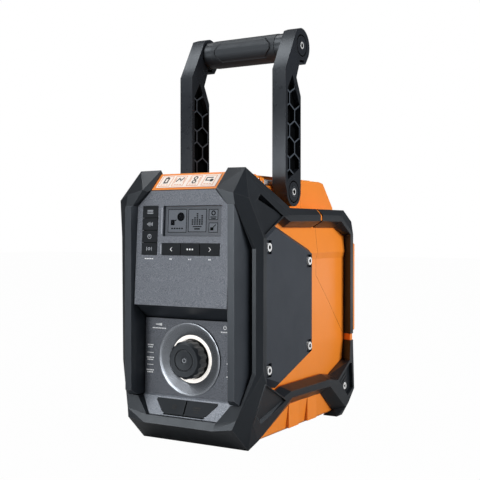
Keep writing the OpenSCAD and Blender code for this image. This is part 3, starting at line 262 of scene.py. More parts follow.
def dress(node, finish, edge, extra=(), turn=30, level=0.6, flats=True):
    """A softened copy of a CAD node, in its finish, stands for the node. Each extra is (finish, chosen)."""
    piece = merged_copy(node, level)
    piece.data.materials.clear()
    piece.data.materials.append(finish)
    for second in extra:
        repaint(piece, *second)
    soften(piece, edge, turn, flats)
    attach(piece, nodes[node]["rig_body"])
    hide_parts(node)
    return piece


def coat(finish, *names):
    """Gives a finish to CAD nodes whose shape stays as it is."""
    for name in names:
        nodes[name].data.materials.clear()
        nodes[name].data.materials.append(finish)


# The orange takes a painted highlight on its arrises and painted shade in its seam.
orange_plastic = plastic("orange_plastic", housing_orange, 0.34, tone=0.05, edge=0.3)
dress("main_housing", orange_plastic, housing_edge, turn=5)
dress("rear_housing", orange_plastic, housing_edge, turn=5)

# ---- Bumper: front frame, rear rails and corner guards -----------------------------------------
# Glass-filled nylon moulded in thick bars round the housing, semi-gloss from a polished mould. The arrises
# are rounded, and paler with a painted highlight. Cool is the tint of the highlights on every dark plastic.

bumper_charcoal = "#1b1e22"
bumper_edge = 1.4 * MM
guard_edge = 0.5 * MM
cool = (0.84, 0.92, 1.0)

bumper_plastic = plastic("bumper_plastic", bumper_charcoal, 0.35, tone=0.25, edge=0.35, sheen_tint=cool)
for bar in ("front_bumper", "rear_rail_right", "rear_rail_left"):
    dress(bar, bumper_plastic, bumper_edge, turn=14, level=9)
for guard in ("corner_guard_right", "corner_guard_left"):
    dress(guard, bumper_plastic, guard_edge, turn=10)

# ---- Screws and bolts --------------------------------------------------------------------------
# Zinc-plated socket-head screws hold the plates and the guards, and black bolts hold the handle and the
# grip. All have hexagonal sockets painted black: painted shade. A socket's reach is measured from its axis,
# which runs along X.

socket_depth = 2.7 * MM
screw_edge = 0.25 * MM
plate_screw_axes = [(-85, 199), (4, 183), (4, 92), (-85, 77)]
guard_screw_axes = [(100.5, 34.5)]
pivot_axes = [(-14, 256.6)]
grip_axes = [(4.2, 414.4)]


def steel(name, colour, rough, metallic=1.0):
    """Plated steel with fine brushed streaks in its gloss."""
    made, tree, skin, place = new_material(name)
    link = tree.links.new
    base = Vector(linear(colour)[:3])
    skin.inputs["Metallic"].default_value = metallic
    streaks = add(tree, "ShaderNodeTexNoise", {"Scale": 900, "Detail": 4})
    shine = add(tree, "ShaderNodeMapRange", {"To Min": rough - 0.08, "To Max": rough + 0.1})
    shades = add(tree, "ShaderNodeMix", {"A": (*(base * 0.86), 1), "B": (*base, 1)}, "RGBA")
    link(place, streaks.inputs["Vector"])
    link(streaks.outputs["Fac"], shine.inputs["Value"])
    link(shine.outputs["Result"], skin.inputs["Roughness"])
    link(streaks.outputs["Fac"], shades.inputs["Factor"])
    link(shades.outputs["Result"], skin.inputs["Base Color"])
    return made


bright_steel = steel("bright_steel", "#f7f8f8", 0.34, 0.35)
# Painted shade: the faces inside the sockets are painted near black, where shade falls.
socket_painted_shade = plastic("socket_painted_shade", "#08090b", 0.8, edge=0.0, bump=0.0)
bolt_black = plastic("bolt_black", "#2a2d32", 0.35, tone=0.1, edge=0.4, sheen_tint=cool)


def in_socket(screws, axes, reach):
    """True for a face inside a key socket: within reach of an axis, and off the head's top."""
    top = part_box(screws)[1].x

    def chosen(middle, normal, low, high):
        near = min(math.hypot(middle.y - y * MM, middle.z - z * MM) for y, z in axes)
        inner, outer = sorted((abs(low.x), abs(high.x)))
        on_top = abs(normal.x) > 0.9 and outer > top - 0.01 * MM
        return near < reach and inner > top - socket_depth and not on_top
    return chosen


for finish, screws, axes, reach in [
        (bright_steel, "plate_screws", plate_screw_axes, 2.35),
        (bright_steel, "guard_screws", guard_screw_axes, 2.05),
        (bolt_black, "pivot_bolts", pivot_axes, 2.65), (bolt_black, "grip_bolts", grip_axes, 2.45)]:
    sockets = [(socket_painted_shade, in_socket(screws, axes, reach * MM))]
    dress(screws, finish, screw_edge, sockets, turn=40)
coat(bright_steel, "case_screws", "door_pin", "dial_shaft", "usb_socket")
coat(bolt_black, "port_pins")

# ---- Speaker plates ----------------------------------------------------------------------------
# A bevelled cover of the same nylon over each speaker, with a coarser grain and a matt face. Each is held by
# four screws that stand in open notches.

plate_finish = plastic("plate_plastic", "#2d3138", 0.5, pitch=1.3 * MM, bump=0.5, tone=0.25, edge=0.3,
                       sheen_tint=cool)
for plate in ("speaker_plate_right", "speaker_plate_left"):
    dress(plate, plate_finish, 0.6 * MM, turn=20)

# ---- Control housing and its two fascias -------------------------------------------------------
# A charcoal housing with side walls carries two fascias sprayed with a metallic lacquer: tiny aluminium
# flakes show as light and dark speckles. The lower one is painted a shade darker as painted shade in its
# recess, and its port panel is painted paler as painted light from above.

flake_pitch = 0.7 * MM
port_panel_top = 48.5 * MM

wall_plastic = plastic("wall_plastic", "#262a30", 0.34, pitch=1.1 * MM, tone=0.2, edge=0.5, specular=0.6,
                       sheen_tint=cool)
dress("control_housing", wall_plastic, 0.7 * MM, turn=20)


def flake_speckle():
    """Light and dark flakes, finer than a grain of sand."""
    group, given, out = new_group(
        "flake_speckle", [("Vector", "NodeSocketVector"), ("Scale", "NodeSocketFloat")],
        [("Flake", "NodeSocketFloat")])
    grains = add(group, "ShaderNodeTexNoise", {"Detail": 2, "Roughness": 0.8})
    sharp = add(group, "ShaderNodeMapRange", {"From Min": 0.34, "From Max": 0.66})
    link = group.links.new
    link(given.outputs["Vector"], grains.inputs["Vector"])
    link(given.outputs["Scale"], grains.inputs["Scale"])
    link(grains.outputs["Fac"], sharp.inputs["Value"])
    link(sharp.outputs["Result"], out.inputs["Flake"])
    return group


flake_group = flake_speckle()


def lacquer(name, dark, light, rough):
    """A metallic lacquer whose flakes run from dark to light."""
    made, tree, skin, place = new_material(name)
    link = tree.links.new
    skin.inputs["Metallic"].default_value = 0.3
    flakes = tree.nodes.new("ShaderNodeGroup")
    flakes.node_tree = flake_group
    flakes.inputs["Scale"].default_value = 1 / flake_pitch
    colours = add(tree, "ShaderNodeMix", {"A": linear(dark), "B": linear(light)}, "RGBA")
    shine = add(tree, "ShaderNodeMapRange", {"To Min": rough + 0.08, "To Max": rough - 0.1})
    relief = add(tree, "ShaderNodeBump", {"Strength": 0.35, "Distance": 0.06 * MM})
    link(place, flakes.inputs["Vector"])
    link(flakes.outputs["Flake"], colours.inputs["Factor"])
    link(colours.outputs["Result"], skin.inputs["Base Color"])
    link(flakes.outputs["Flake"], shine.inputs["Value"])
    link(shine.outputs["Result"], skin.inputs["Roughness"])
    link(flakes.outputs["Flake"], relief.inputs["Height"])
    link(relief.outputs["Normal"], skin.inputs["Normal"])
    return made


upper_lacquer = lacquer("upper_lacquer", "#41464e", "#7d828b", 0.5)
# Painted shade makes the lower fascia darker in its recess, and painted light makes the port panel paler.
lower_lacquer_painted_shade = lacquer("lower_lacquer_painted_shade", "#33373e", "#6c717a", 0.5)
port_lacquer_painted_light = lacquer("port_lacquer_painted_light", "#555b65", "#a3a9b2", 0.45)
dress("upper_fascia", upper_lacquer, 0.35 * MM)
dress("lower_fascia", lower_lacquer_painted_shade, 0.35 * MM,
      [(port_lacquer_painted_light, lambda middle, normal, low, high: high.z < port_panel_top)])

# ---- Printed marks: how they are drawn ---------------------------------------------------------
# Every mark is a film of ink a tenth of a millimetre thick. It lies on a leaning face, and its outline is
# drawn in millimetres across the face and up it. The first marks are the bright rings on the black bolts.

disc_sides = 28
ring_radius = 3.6
ring_width = 1.1
ink_film = 0.1 * MM
lean_angle = math.atan2(7, 115.5)
fascia_foot = (-131.5, 140.5)
recess_foot = (-114.3, 48)
recess_angle = math.atan2(2.3, 78)
port_foot = (-125.2, 29.3)
port_angle = math.atan2(8.9, 17.5)


def face_at(foot, angle, proud=0.0):
    """The matrix of a face that leans back by angle from its foot (y, z): x across, y up it, z out of it."""
    turn = Matrix.Rotation(-angle, 4, "X")
    across = turn @ Vector((1, 0, 0))
    up = turn @ Vector((0, 0, 1))
    out = turn @ Vector((0, -1, 0))
    start = Vector((0, foot[0], foot[1])) + out * proud
    matrix = Matrix.Identity(4)
    for row in range(3):
        matrix[row] = (across[row] * MM, up[row] * MM, out[row] * MM, start[row] * MM)
    return matrix


def side_at(x, y, z, way):
    """The matrix of an upright face that looks along +X for way 1 and along -X for way -1."""
    matrix = Matrix.Identity(4)
    for row, cells in enumerate([(0, 0, way, x), (way, 0, 0, y), (0, 1, 0, z)]):
        matrix[row] = [cell * MM for cell in cells]
    return matrix


def bar(x, y, width, height):
    """An upright rectangle round the point x, y."""
    w, h = width / 2, height / 2
    return [[(x - w, y - h), (x + w, y - h), (x + w, y + h), (x - w, y + h)]]


def disc(x, y, radius):
    """A round spot."""
    turns = [math.tau * i / disc_sides for i in range(disc_sides)]
    return [[(x + radius * math.cos(turn), y + radius * math.sin(turn)) for turn in turns]]


def ring(x, y, radius, width):
    """A ring with this outer radius."""
    return disc(x, y, radius) + disc(x, y, radius - width)


def frame_line(x, y, width, height, line):
    """A rectangular outline."""
    return bar(x, y, width, height) + bar(x, y, width - 2 * line, height - 2 * line)


def stroke(x0, y0, x1, y1, width):
    """A straight stroke from point to point."""
    along = Vector((x1 - x0, y1 - y0)).normalized() * width / 2
    side = Vector((-along.y, along.x))
    return [[(x0 - along.x + side.x, y0 - along.y + side.y), (x0 - along.x - side.x, y0 - along.y - side.y),
             (x1 + along.x - side.x, y1 + along.y - side.y), (x1 + along.x + side.x, y1 + along.y + side.y)]]


def arrow_head(x, y, size, way):
    """A solid triangle that points right for way 1 and left for way -1."""
    back, tip, rise = x - way * size / 2, x + way * size / 2, size * 0.6
    return [[(back, y - rise), (tip, y), (back, y + rise)]]


def chevron(x, y, size, way, line):
    """An open arrow of one bent stroke."""
    a, b = way * size / 2, size
    return [[(x - a, y - b), (x + a, y), (x - a, y + b), (x - a + line, y + b), (x + a + line, y),
             (x - a + line, y - b)]]


def broken_ring(x, y, radius, width, gap):
    """A ring that is open at its top by gap degrees."""
    turns = [math.radians(90 + gap / 2 + (360 - gap) * i / 32) for i in range(33)]
    within = radius - width
    outer = [(x + radius * math.cos(turn), y + radius * math.sin(turn)) for turn in turns]
    inner = [(x + within * math.cos(turn), y + within * math.sin(turn)) for turn in reversed(turns)]
    return [outer + inner]


def printed(name, outlines, place, finish, body, film=ink_film):
    """A piece of ink from closed outlines in millimetres: a flat curve, made a mesh and put in its place."""
    drawn = bpy.data.curves.new(name, "CURVE")
    drawn.dimensions = "2D"
    drawn.fill_mode = "BOTH"
    drawn.extrude = film / MM / 2
    for outline in outlines:
        line = drawn.splines.new("POLY")
        line.points.add(len(outline) - 1)
        for point, (x, y) in zip(line.points, outline):
            point.co = (x, y, film / MM / 2, 1)
        line.use_cyclic_u = True
    mark = bpy.data.objects.new(name, drawn)
    bpy.context.scene.collection.objects.link(mark)
    take(mark)
    bpy.ops.object.convert(target="MESH")
    mark = bpy.context.view_layer.objects.active
    mark.data.transform(place)
    mark.name = name
    take(mark)
    bpy.ops.object.mode_set(mode="EDIT")
    bpy.ops.mesh.select_all(action="SELECT")
    bpy.ops.mesh.remove_doubles(threshold=0.002 * MM)
    bpy.ops.mesh.normals_make_consistent(inside=False)
    bpy.ops.object.mode_set(mode="OBJECT")
    mark.data.materials.clear()
    mark.data.materials.append(finish)
    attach(mark, body)
    return mark


def ink(name, colour):
    """Matt screen ink with a slightly uneven lay."""
    return plastic(name, colour, 0.6, pitch=0.5 * MM, bump=0.1, tone=0.06, edge=0.0, gap=0.0)


white_ink = ink("white_ink", "#f4f6f8")
grey_ink = ink("grey_ink", "#a9aeb5")
bolt_ring = ring(0, 0, ring_radius, ring_width)
for bolt, (y, z) in [("pivot", pivot_axes[0]), ("grip", grip_axes[0])]:
    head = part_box(bolt + "_bolts")[1].x / MM
    for side, way in [("right", 1), ("left", -1)]:
        printed(f"{bolt}_ring_{side}", bolt_ring, side_at(way * head, y, z, way),
                bright_steel, nodes[bolt + "_bolts"]["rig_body"])

# ---- Display -----------------------------------------------------------------------------------
# A reflective liquid crystal module behind a clear window in the fascia. Its glass is grey, with four framed
# fields; the segments that are on are nearly black.

display_grey = "#565c66"
segment_colour = "#050608"
field_line = 0.6
display_front = -2.9
fields = [
    (-7.5, 85.0, 22.5, 23.4), (16.4, 85.2, 21.5, 22.8),
    (35.1, 91.0, 10.8, 10.6), (35.3, 78.2, 10.6, 9.8)]

module_grey = plastic("module_grey", display_grey, 0.35, tone=0.06, bump=0.0, edge=0.0, gap=0.0)
field_grey = plastic("field_grey", "#666d77", 0.4, tone=0.05, bump=0.0, edge=0.0, gap=0.0)
segment_black = plastic("segment_black", segment_colour, 0.8, bump=0.0, edge=0.0, specular=0.05, gap=0.0)
coat(module_grey, "display_module")

on_display = face_at(fascia_foot, lean_angle, display_front)
over_fields = face_at(fascia_foot, lean_angle, display_front + 0.06)
field_shapes = []
segments = []
for x, z, w, h in fields:
    field_shapes += bar(x, z, w, h)
    segments += frame_line(x, z, w, h, field_line)
first, second, third, fourth = fields
segments += bar(first[0] - 5.5, first[1] - 1.6, 4.6, 5.4) + disc(first[0] + 4.2, first[1] + 4.0, 4.4)
segments += stroke(first[0] - 2.6, first[1] + 0.2, first[0] - 1.4, first[1] + 1.0, 0.9)
for i in range(5):
    segments += bar(first[0] - 6 + i * 3, first[1] - 7.6, 1.9, 1.5)
for column, count in enumerate([3, 4, 6, 3, 5]):
    for level in range(count):
        segments += bar(second[0] - 5.6 + column * 2.8, second[1] - 3.4 + level * 2.0, 1.9, 1.3)
segments += bar(second[0], second[1] - 6.0, 10.5, 0.9) + bar(second[0], second[1] - 8.2, 6.5, 1.3)
segments += ring(third[0], third[1] + 1.5, 2.5, 1.1) + bar(third[0], third[1] - 2.4, 7.0, 0.9)
segments += bar(third[0], third[1] - 3.9, 5.4, 0.8)
segments += bar(fourth[0] - 1.6, fourth[1] - 1.2, 3.6, 3.0)
segments += stroke(fourth[0] - 0.2, fourth[1] + 0.4, fourth[0] + 2.6, fourth[1] + 2.8, 0.8)
printed("display_fields", field_shapes, on_display, field_grey, "radio", 0.06 * MM)
printed("display_segments", segments, over_fields, segment_black, "radio", 0.08 * MM)


def clear_window(name, tint, haze_tint):
    """Clear acrylic, faintly smoked, with a soft haze from wiping."""
    made, tree, skin, place = new_material(name)
    link = tree.links.new
    skin.inputs["Alpha"].default_value = 0.06
    skin.inputs["Specular IOR Level"].default_value = 0.05
    haze = add(tree, "ShaderNodeTexNoise", {"Scale": 40})
    wiped = add(tree, "ShaderNodeMapRange", {"To Min": 0.05, "To Max": 0.14})
    colours = add(tree, "ShaderNodeMix", {"A": linear(tint), "B": linear(haze_tint)}, "RGBA")
    link(place, haze.inputs["Vector"])
    link(haze.outputs["Fac"], wiped.inputs["Value"])
    link(wiped.outputs["Result"], skin.inputs["Roughness"])
    link(haze.outputs["Fac"], colours.inputs["Factor"])
    link(colours.outputs["Result"], skin.inputs["Base Color"])
    return made


coat(clear_window("window_acrylic", "#383d44", "#4c525a"), "display_lens")

# ---- Keys --------------------------------------------------------------------------------------
# Four mode keys and three preset keys of black silicone-feel plastic, each pushed in on its own stem. Their
# marks are generic signs in pale ink.

key_front = 0.5
key_black = plastic("key_black", "#141619", 0.6, tone=0.12, edge=0.25, specular=0.25, sheen_tint=cool)
mode_at = (-38.75, 50.5)
mode_height = 12.45
preset_at = (-23.4, 56.6)
preset_width = 22.87
key_face = face_at(fascia_foot, lean_angle, key_front)

for i in range(4):
    dress(f"mode_button_{i + 1}", key_black, 0.35 * MM)
for i in range(3):
    dress(f"preset_button_{i + 1}", key_black, 0.35 * MM)

mode_x = mode_at[0]
bars_y, level_y, power_y, link_y = [mode_at[1] + (3.5 - i) * mode_height for i in range(4)]
level_heights = [1.4, 3.2, 4.4, 2.4, 3.6]
mode_marks = [
    bar(mode_x, bars_y + 1.5, 7, 0.7) + bar(mode_x, bars_y, 7, 0.7) + bar(mode_x, bars_y - 1.5, 7, 0.7),
    [outline for i, h in enumerate(level_heights) for outline in bar(mode_x - 3 + i * 1.5, level_y, 0.7, h)],
    ring(mode_x, power_y, 2.4, 0.6) + stroke(mode_x, power_y, mode_x, power_y + 1.2, 0.5),
    ring(mode_x, link_y, 1.5, 0.6) + stroke(mode_x - 3, link_y - 1.6, mode_x - 3, link_y + 1.6, 0.6)
    + stroke(mode_x + 3, link_y - 1.6, mode_x + 3, link_y + 1.6, 0.6)]
for i, shapes in enumerate(mode_marks):
    printed(f"mode_sign_{i + 1}", shapes, key_face, grey_ink, f"mode_key_{i + 1}")

preset_middles = [preset_at[0] + (i + 0.5) * preset_width for i in range(3)]
preset_y = preset_at[1]
preset_marks = [
    chevron(preset_middles[0], preset_y, 2.0, -1, 0.8),
    [outline for i in range(3) for outline in disc(preset_middles[1] - 3 + i * 3, preset_y, 0.9)],
    chevron(preset_middles[2], preset_y, 2.0, 1, 0.8)]
for i, shapes in enumerate(preset_marks):
    printed(f"preset_sign_{i + 1}", shapes, key_face, white_ink, f"preset_key_{i + 1}")

# ---- Signs on the fascias ----------------------------------------------------------------------
# Generic signs, all screen printed: skip back, play and pause and skip on under the keys, a level and a
# power sign over the dial, and small blocks for words. Pale strips left of the keys and the display are a
# painted highlight on the lips of their openings.

sign_y = 46.8
# Painted highlight: a pale ink for the lips of the openings that catch the light.
lip_highlight = ink("lip_highlight", "#b4b9c1")


def skip_sign(x, way):
    """Two arrow heads that run up to a bar, to the right for way 1 and to the left for way -1."""
    bars = bar(x + way * 1.5, sign_y, 0.35, 1.5)
    return bars + arrow_head(x - 0.6, sign_y, 1.2, way) + arrow_head(x + 0.6, sign_y, 1.2, way)


back_x, play_x, next_x = preset_middles
under = skip_sign(back_x, -1)
under += arrow_head(play_x - 1, sign_y, 1.4, 1)
under += bar(play_x + 0.5, sign_y, 0.4, 1.5) + bar(play_x + 1.3, sign_y, 0.4, 1.5)
under += skip_sign(next_x, 1)
for i in range(5):
    under += bar(mode_x - 4.4 + i * 2.2, sign_y, 1.5, 1.0)
printed("player_signs", under, face_at(fascia_foot, lean_angle), white_ink, "radio")
# Painted highlight: pale strips where the left lips of the openings catch the light.
lip_highlights = bar(mode_x - 8.3, mode_at[1] + 2 * mode_height, 0.7, 4 * mode_height - 2)
lip_highlights += bar(preset_at[0] - 1.1, preset_y, 0.7, 9.4) + bar(preset_at[0] - 1.1, 85, 0.7, 26)
printed("fascia_lip_highlights", lip_highlights, face_at(fascia_foot, lean_angle), lip_highlight, "radio")

beside = []
foot_z = recess_foot[1]
power_x, power_z = 41.5, 120 - foot_z
words_z = 115.6 - foot_z
for side in (-1, 1):
    x = side * 48.6
    for z in (90 - foot_z, 77.6 - foot_z):
        beside += bar(x, z, 7.8, 0.5)
    for z, count in ((96.8 - foot_z, 4), (83.8 - foot_z, 5), (71 - foot_z, 5)):
        for row, letters in ((1.1, count), (-1.1, count - 1)):
            for i in range(letters):
                beside += bar(x + (i - (letters - 1) / 2) * 1.9, z + row, 1.4, 1.2)
for i in range(5):
    beside += bar(-power_x + i * 1.6, 119.4 - foot_z, 1.1, 0.9 + 0.45 * i)
beside += broken_ring(power_x, power_z, 2.0, 0.7, 70) + bar(power_x, 121.3 - foot_z, 0.7, 1.8)
for start, letters in ((-45.5, 9), (37.5, 5)):
    for i in range(letters):
        beside += bar(start + i * 1.9, words_z, 1.4, 1.1)
printed("dial_signs", beside, face_at(recess_foot, recess_angle), white_ink, "radio")

# ---- Dial --------------------------------------------------------------------------------------
# A fluted rubber-coated knob on a metal shaft, in front of a white light ring. Round it lies a dished bezel,
# turned on a lathe, whose fine grooves catch the light as rings.

dial_height = 86
knob_front = -122.5


def turned_metal(name, dark, light, rough):
    """Satin metal lacquer with fine lathe rings round the dial's axis."""
    made, tree, skin, place = new_material(name)
    link = tree.links.new
    skin.inputs["Metallic"].default_value = 0.75
    centred = add(tree, "ShaderNodeMapping", {"Location": (0, 0, -dial_height * MM), "Scale": (1, 0, 1)})
    rings = add(tree, "ShaderNodeTexWave", {"Scale": 330, "Distortion": 0.25, "Detail": 2})
    rings.wave_type = "RINGS"
    rings.rings_direction = "SPHERICAL"
    colours = add(tree, "ShaderNodeMix", {"A": linear(dark), "B": linear(light)}, "RGBA")
    shine = add(tree, "ShaderNodeMapRange", {"To Min": rough - 0.05, "To Max": rough + 0.08})
    relief = add(tree, "ShaderNodeBump", {"Strength": 0.3, "Distance": 0.05 * MM})
    link(place, centred.inputs["Vector"])
    link(centred.outputs["Vector"], rings.inputs["Vector"])
    link(rings.outputs["Fac"], colours.inputs["Factor"])
    link(colours.outputs["Result"], skin.inputs["Base Color"])
    link(rings.outputs["Fac"], shine.inputs["Value"])
    link(shine.outputs["Result"], skin.inputs["Roughness"])
    link(rings.outputs["Fac"], relief.inputs["Height"])
    link(relief.outputs["Normal"], skin.inputs["Normal"])
    return made


def glowing(name, colour, strength):
    """A milky light guide with a faint mottle, lit from behind."""
    made = plastic(name, colour, 0.45, bump=0.05, tone=0.03, edge=0.0, gap=0.0)
    skin = made.node_tree.nodes["Principled BSDF"]
    skin.inputs["Emission Color"].default_value = linear(colour)
    skin.inputs["Emission Strength"].default_value = strength
    return made


dress("dial_bezel", turned_metal("bezel_metal", "#5e636a", "#a8adb4", 0.27), 0.2 * MM,
      level=0.05, flats=False)
dress("light_ring", glowing("ring_milk", "#fbf6f0", 0.55), 0.3 * MM, flats=False)
knob_rubber = plastic("knob_rubber", "#1c1f23", 0.42, tone=0.15, edge=0.4, sheen_tint=cool)
dress("dial_knob", knob_rubber, 0.35 * MM)
knob_sign_place = face_at((knob_front, dial_height), 0)
printed("knob_sign", broken_ring(0, 0, 2.3, 0.6, 80) + bar(0, 1.6, 0.6, 1.8), knob_sign_place,
        grey_ink, "dial")
coat(knob_rubber, "encoder_plunger")

# ---- Ports and their flaps ---------------------------------------------------------------------
# Two rubber flaps turn on one blackened pin and cover an audio jack and a USB socket. The rubber is dull
# and soft to the touch; a small raised sign on each shows what lies behind.

flap_front = 0.4
flap_rubber = plastic("flap_rubber", "#1a1d21", 0.55, pitch=0.7 * MM, tone=0.12, edge=0.5, specular=0.3,
                      sheen_tint=cool)
for flap in ("aux_flap", "usb_flap"):
    dress(flap, flap_rubber, 0.3 * MM)
flap_face = face_at(port_foot, port_angle, flap_front)
sign_rubber = ink("sign_rubber", "#0b0c0e")
jack_sign = ring(-13, 10, 2.6, 0.8) + disc(-13, 10, 0.8)
plug_sign = frame_line(14, 10.4, 8, 3.6, 0.7) + bar(14, 10.8, 5.6, 0.9) + bar(14, 6.6, 5.6, 0.8)
printed("aux_sign", jack_sign, flap_face, sign_rubber, "aux_cover")
printed("usb_sign", plug_sign, flap_face, sign_rubber, "usb_cover")
coat(flap_rubber, "aux_socket")

# ---- Label on the nose -------------------------------------------------------------------------
# A printed vinyl label on the sloping nose, with four framed fields. Each field holds one generic sign:
# a cell, a wave, a clip and a plug.

nose_foot = (-123.5, 256.5)
nose_top = (-106, 273.5)
nose_angle = math.atan2(nose_top[0] - nose_foot[0], nose_top[1] - nose_foot[1])
label_t = 0.5
label_face = face_at(nose_foot, nose_angle, label_t)
label_middle = 12.1
label_xs = [-27.0, -10.6, 7.6, 25.0]
field_size = (13.6, 15.2)

vinyl = ink("label_vinyl", "#f3e6dc")
frame_ink = ink("frame_ink", "#d98a55")
dark_ink = ink("dark_ink", "#262220")
dress("feature_label", vinyl, 0.12 * MM)
frames = []
signs = []
for x in label_xs:
    frames += frame_line(x, label_middle, *field_size, 0.5)
    for i in range(3):
        frames += bar(x - 3.2 + i * 3.2, label_middle - 5.2, 2.2, 0.7)
for x in label_xs[1:3]:
    for side in (-1, 1):
        frames += bar(x + side * 5.2, label_middle + 1.5, 0.5, 7)
x = label_xs[0]
signs += frame_line(x, label_middle + 1.2, 5.4, 8.2, 1.5) + bar(x, label_middle + 6.0, 2.6, 1.1)
x = label_xs[1]
signs += stroke(x - 3.6, label_middle, x - 1.4, label_middle + 4.4, 1.3)
signs += stroke(x + 1.4, label_middle + 0.4, x + 3.6, label_middle + 4.8, 1.3)
signs += disc(x, label_middle + 2.4, 0.9)
x = label_xs[2]
signs += ring(x, label_middle + 3.9, 2.6, 1.2) + ring(x, label_middle - 1.5, 2.6, 1.2)
x = label_xs[3]
cord = [(3.4, 4.6), (-4.6, 4.6), (-4.6, -0.6), (0.3, -0.6), (0.3, 0.6), (-3.4, 0.6), (-3.4, 3.4), (3.4, 3.4)]
signs += [[(x + a, label_middle + b) for a, b in cord]] + disc(x + 2.7, label_middle, 2.1)
printed("label_frames", frames, label_face, frame_ink, "radio")
printed("label_signs", signs, label_face, dark_ink, "radio")

# ---- Handle ------------------------------------------------------------------------------------
# Two nylon arms with sunk windows, where honeycomb ribs stand over cells painted black as painted shade,
# and a grip between them: a plastic core with a soft sleeve whose raised panels have cut corners.

arm_inner = 50.6 * MM
arm_outer = 66.3 * MM
window_sink = 0.8 * MM
cell_depth = 5.5 * MM
handle_edge = 0.6 * MM
# Painted shade: the floors and walls of the deep cells are near black, with hardly any gloss.
cell_painted_shade = plastic("cell_painted_shade", "#050607", 0.7, tone=0.1, edge=0.0, specular=0.02, bump=0.0)
rib_grey = plastic("rib_grey", "#3a4048", 0.5, tone=0.1, edge=0.0, sheen_tint=cool)
arm_plastic = plastic("arm_plastic", "#1e2126", 0.27, tone=0.25, edge=0.3, specular=0.4, sheen_tint=cool)


def in_cell(middle, normal, low, high):
    """True for the floors and walls of the honeycomb cells in either face of an arm."""
    inner, outer = min(abs(low.x), abs(high.x)), max(abs(low.x), abs(high.x))
    from_inside = inner > arm_inner + window_sink / 2 and outer < arm_inner + cell_depth + 0.1 * MM
    from_outside = outer < arm_outer - window_sink / 2 and inner > arm_outer - cell_depth - 0.1 * MM
    return from_inside or from_outside


def on_rib(middle, normal, low, high):
    """True for the ribs' faces, flush with the sunk windows."""
    at = abs(middle.x)
    off_window = min(abs(at - arm_inner - window_sink), abs(at - arm_outer + window_sink))
    return abs(normal.x) > 0.9 and off_window < 0.05 * MM


for arm in ("handle_arm_right", "handle_arm_left"):
    dress(arm, arm_plastic, handle_edge, [(cell_painted_shade, in_cell), (rib_grey, on_rib)])

core_plastic = plastic("core_plastic", "#1d2024", 0.38, tone=0.15, edge=0.3, sheen_tint=cool)
dress("grip_core", core_plastic, 0.5 * MM)

grip_y, grip_z = grip_axes[0]
grip_centre = Vector((0, grip_y * MM, grip_z * MM))
sleeve_r = 15.4 * MM
sleeve_half = 40 * MM
panel_half = 36 * MM
panel_cut = 8 * MM
panel_top = 11.2 * MM
panel_rise = 0.55 * MM
panel_lip = 0.9 * MM
panel_groove = 0.5 * MM


def cut(point, normal):
    """Cuts all faces along a plane and keeps both sides."""
    bpy.ops.mesh.select_all(action="SELECT")
    bpy.ops.mesh.bisect(plane_co=point, plane_no=normal)


bpy.ops.object.select_all(action="DESELECT")
bpy.ops.mesh.primitive_cylinder_add(
    vertices=72, radius=sleeve_r, depth=2 * sleeve_half, location=grip_centre,
    rotation=(0, math.radians(90), 0))
sleeve = bpy.context.active_object
sleeve.name = "grip_sleeve_skin"
bpy.ops.object.transform_apply(location=True, rotation=True, scale=True)
bpy.ops.object.mode_set(mode="EDIT")
for side in (-1, 1):
    cut(grip_centre + Vector((side * panel_half, 0, 0)), (1, 0, 0))
    cut(grip_centre + Vector((0, 0, side * panel_top)), (0, 0, 1))
    for end in (-1, 1):
        corner = grip_centre + Vector((end * (panel_half - panel_cut), 0, side * panel_top))
        cut(corner, (end, 0, side))
bpy.ops.mesh.select_all(action="DESELECT")
bpy.ops.object.mode_set(mode="OBJECT")
for face in sleeve.data.polygons:
    at = face.center - grip_centre
    reach = abs(at.x) + abs(at.z)
    face.select = (abs(at.x) < panel_half and abs(at.z) < panel_top and abs(face.normal.x) < 0.5
                   and reach < panel_half - panel_cut + panel_top)
bpy.ops.object.mode_set(mode="EDIT")
bpy.ops.mesh.select_mode(type="FACE")
bpy.ops.mesh.inset(thickness=panel_lip, depth=-panel_groove)
bpy.ops.mesh.inset(thickness=panel_lip, depth=panel_groove + panel_rise)
bpy.ops.object.mode_set(mode="OBJECT")
sleeve_rubber = plastic("sleeve_rubber", "#1a1d21", 0.5, pitch=0.8 * MM, bump=0.45, tone=0.16, edge=0.3,
                        sheen_tint=cool)
sleeve.data.materials.append(sleeve_rubber)
soften(sleeve, 0.2 * MM, turn=24)
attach(sleeve, "handle")
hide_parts("grip_sleeve")

# ---- Antenna -----------------------------------------------------------------------------------
# A telescopic mast of three chromed tubes that lies in its channel on the right shoulder. It folds up on a
# cross pin through its knuckle.

chrome = steel("chrome", "#f2f4f6", 0.25, 0.55)
for tube in ("antenna_knuckle", "mast_lower", "mast_tip"):
    dress(tube, chrome, 0.2 * MM)
coat(chrome, "mast_middle", "antenna_pin")

# ---- Battery bay, door and inlet ---------------------------------------------------------------
# The door hangs on a steel pin at the foot of the bay and is held by a sliding latch. Behind it the pack
# slides into a black tray onto brass terminals.

dress("battery_door", orange_plastic, housing_edge)
dress("door_latch", bumper_plastic, 0.3 * MM)
inlet_black = plastic("inlet_black", "#191b1e", 0.5)
dress("dc_inlet", inlet_black, 0.2 * MM)
coat(inlet_black, "battery_tray")
coat(plastic("pack_black", "#26292d", 0.55, tone=0.15), "battery_pack")
coat(steel("terminal_brass", "#d9b262", 0.35), "terminal_block")

# ---- Speakers and boards -----------------------------------------------------------------------
# Two full-range drivers look out through the sides: pressed baskets, paper cones and ferrite magnets. The
# boards are green and black laminate, and the encoder behind the dial has a steel case.

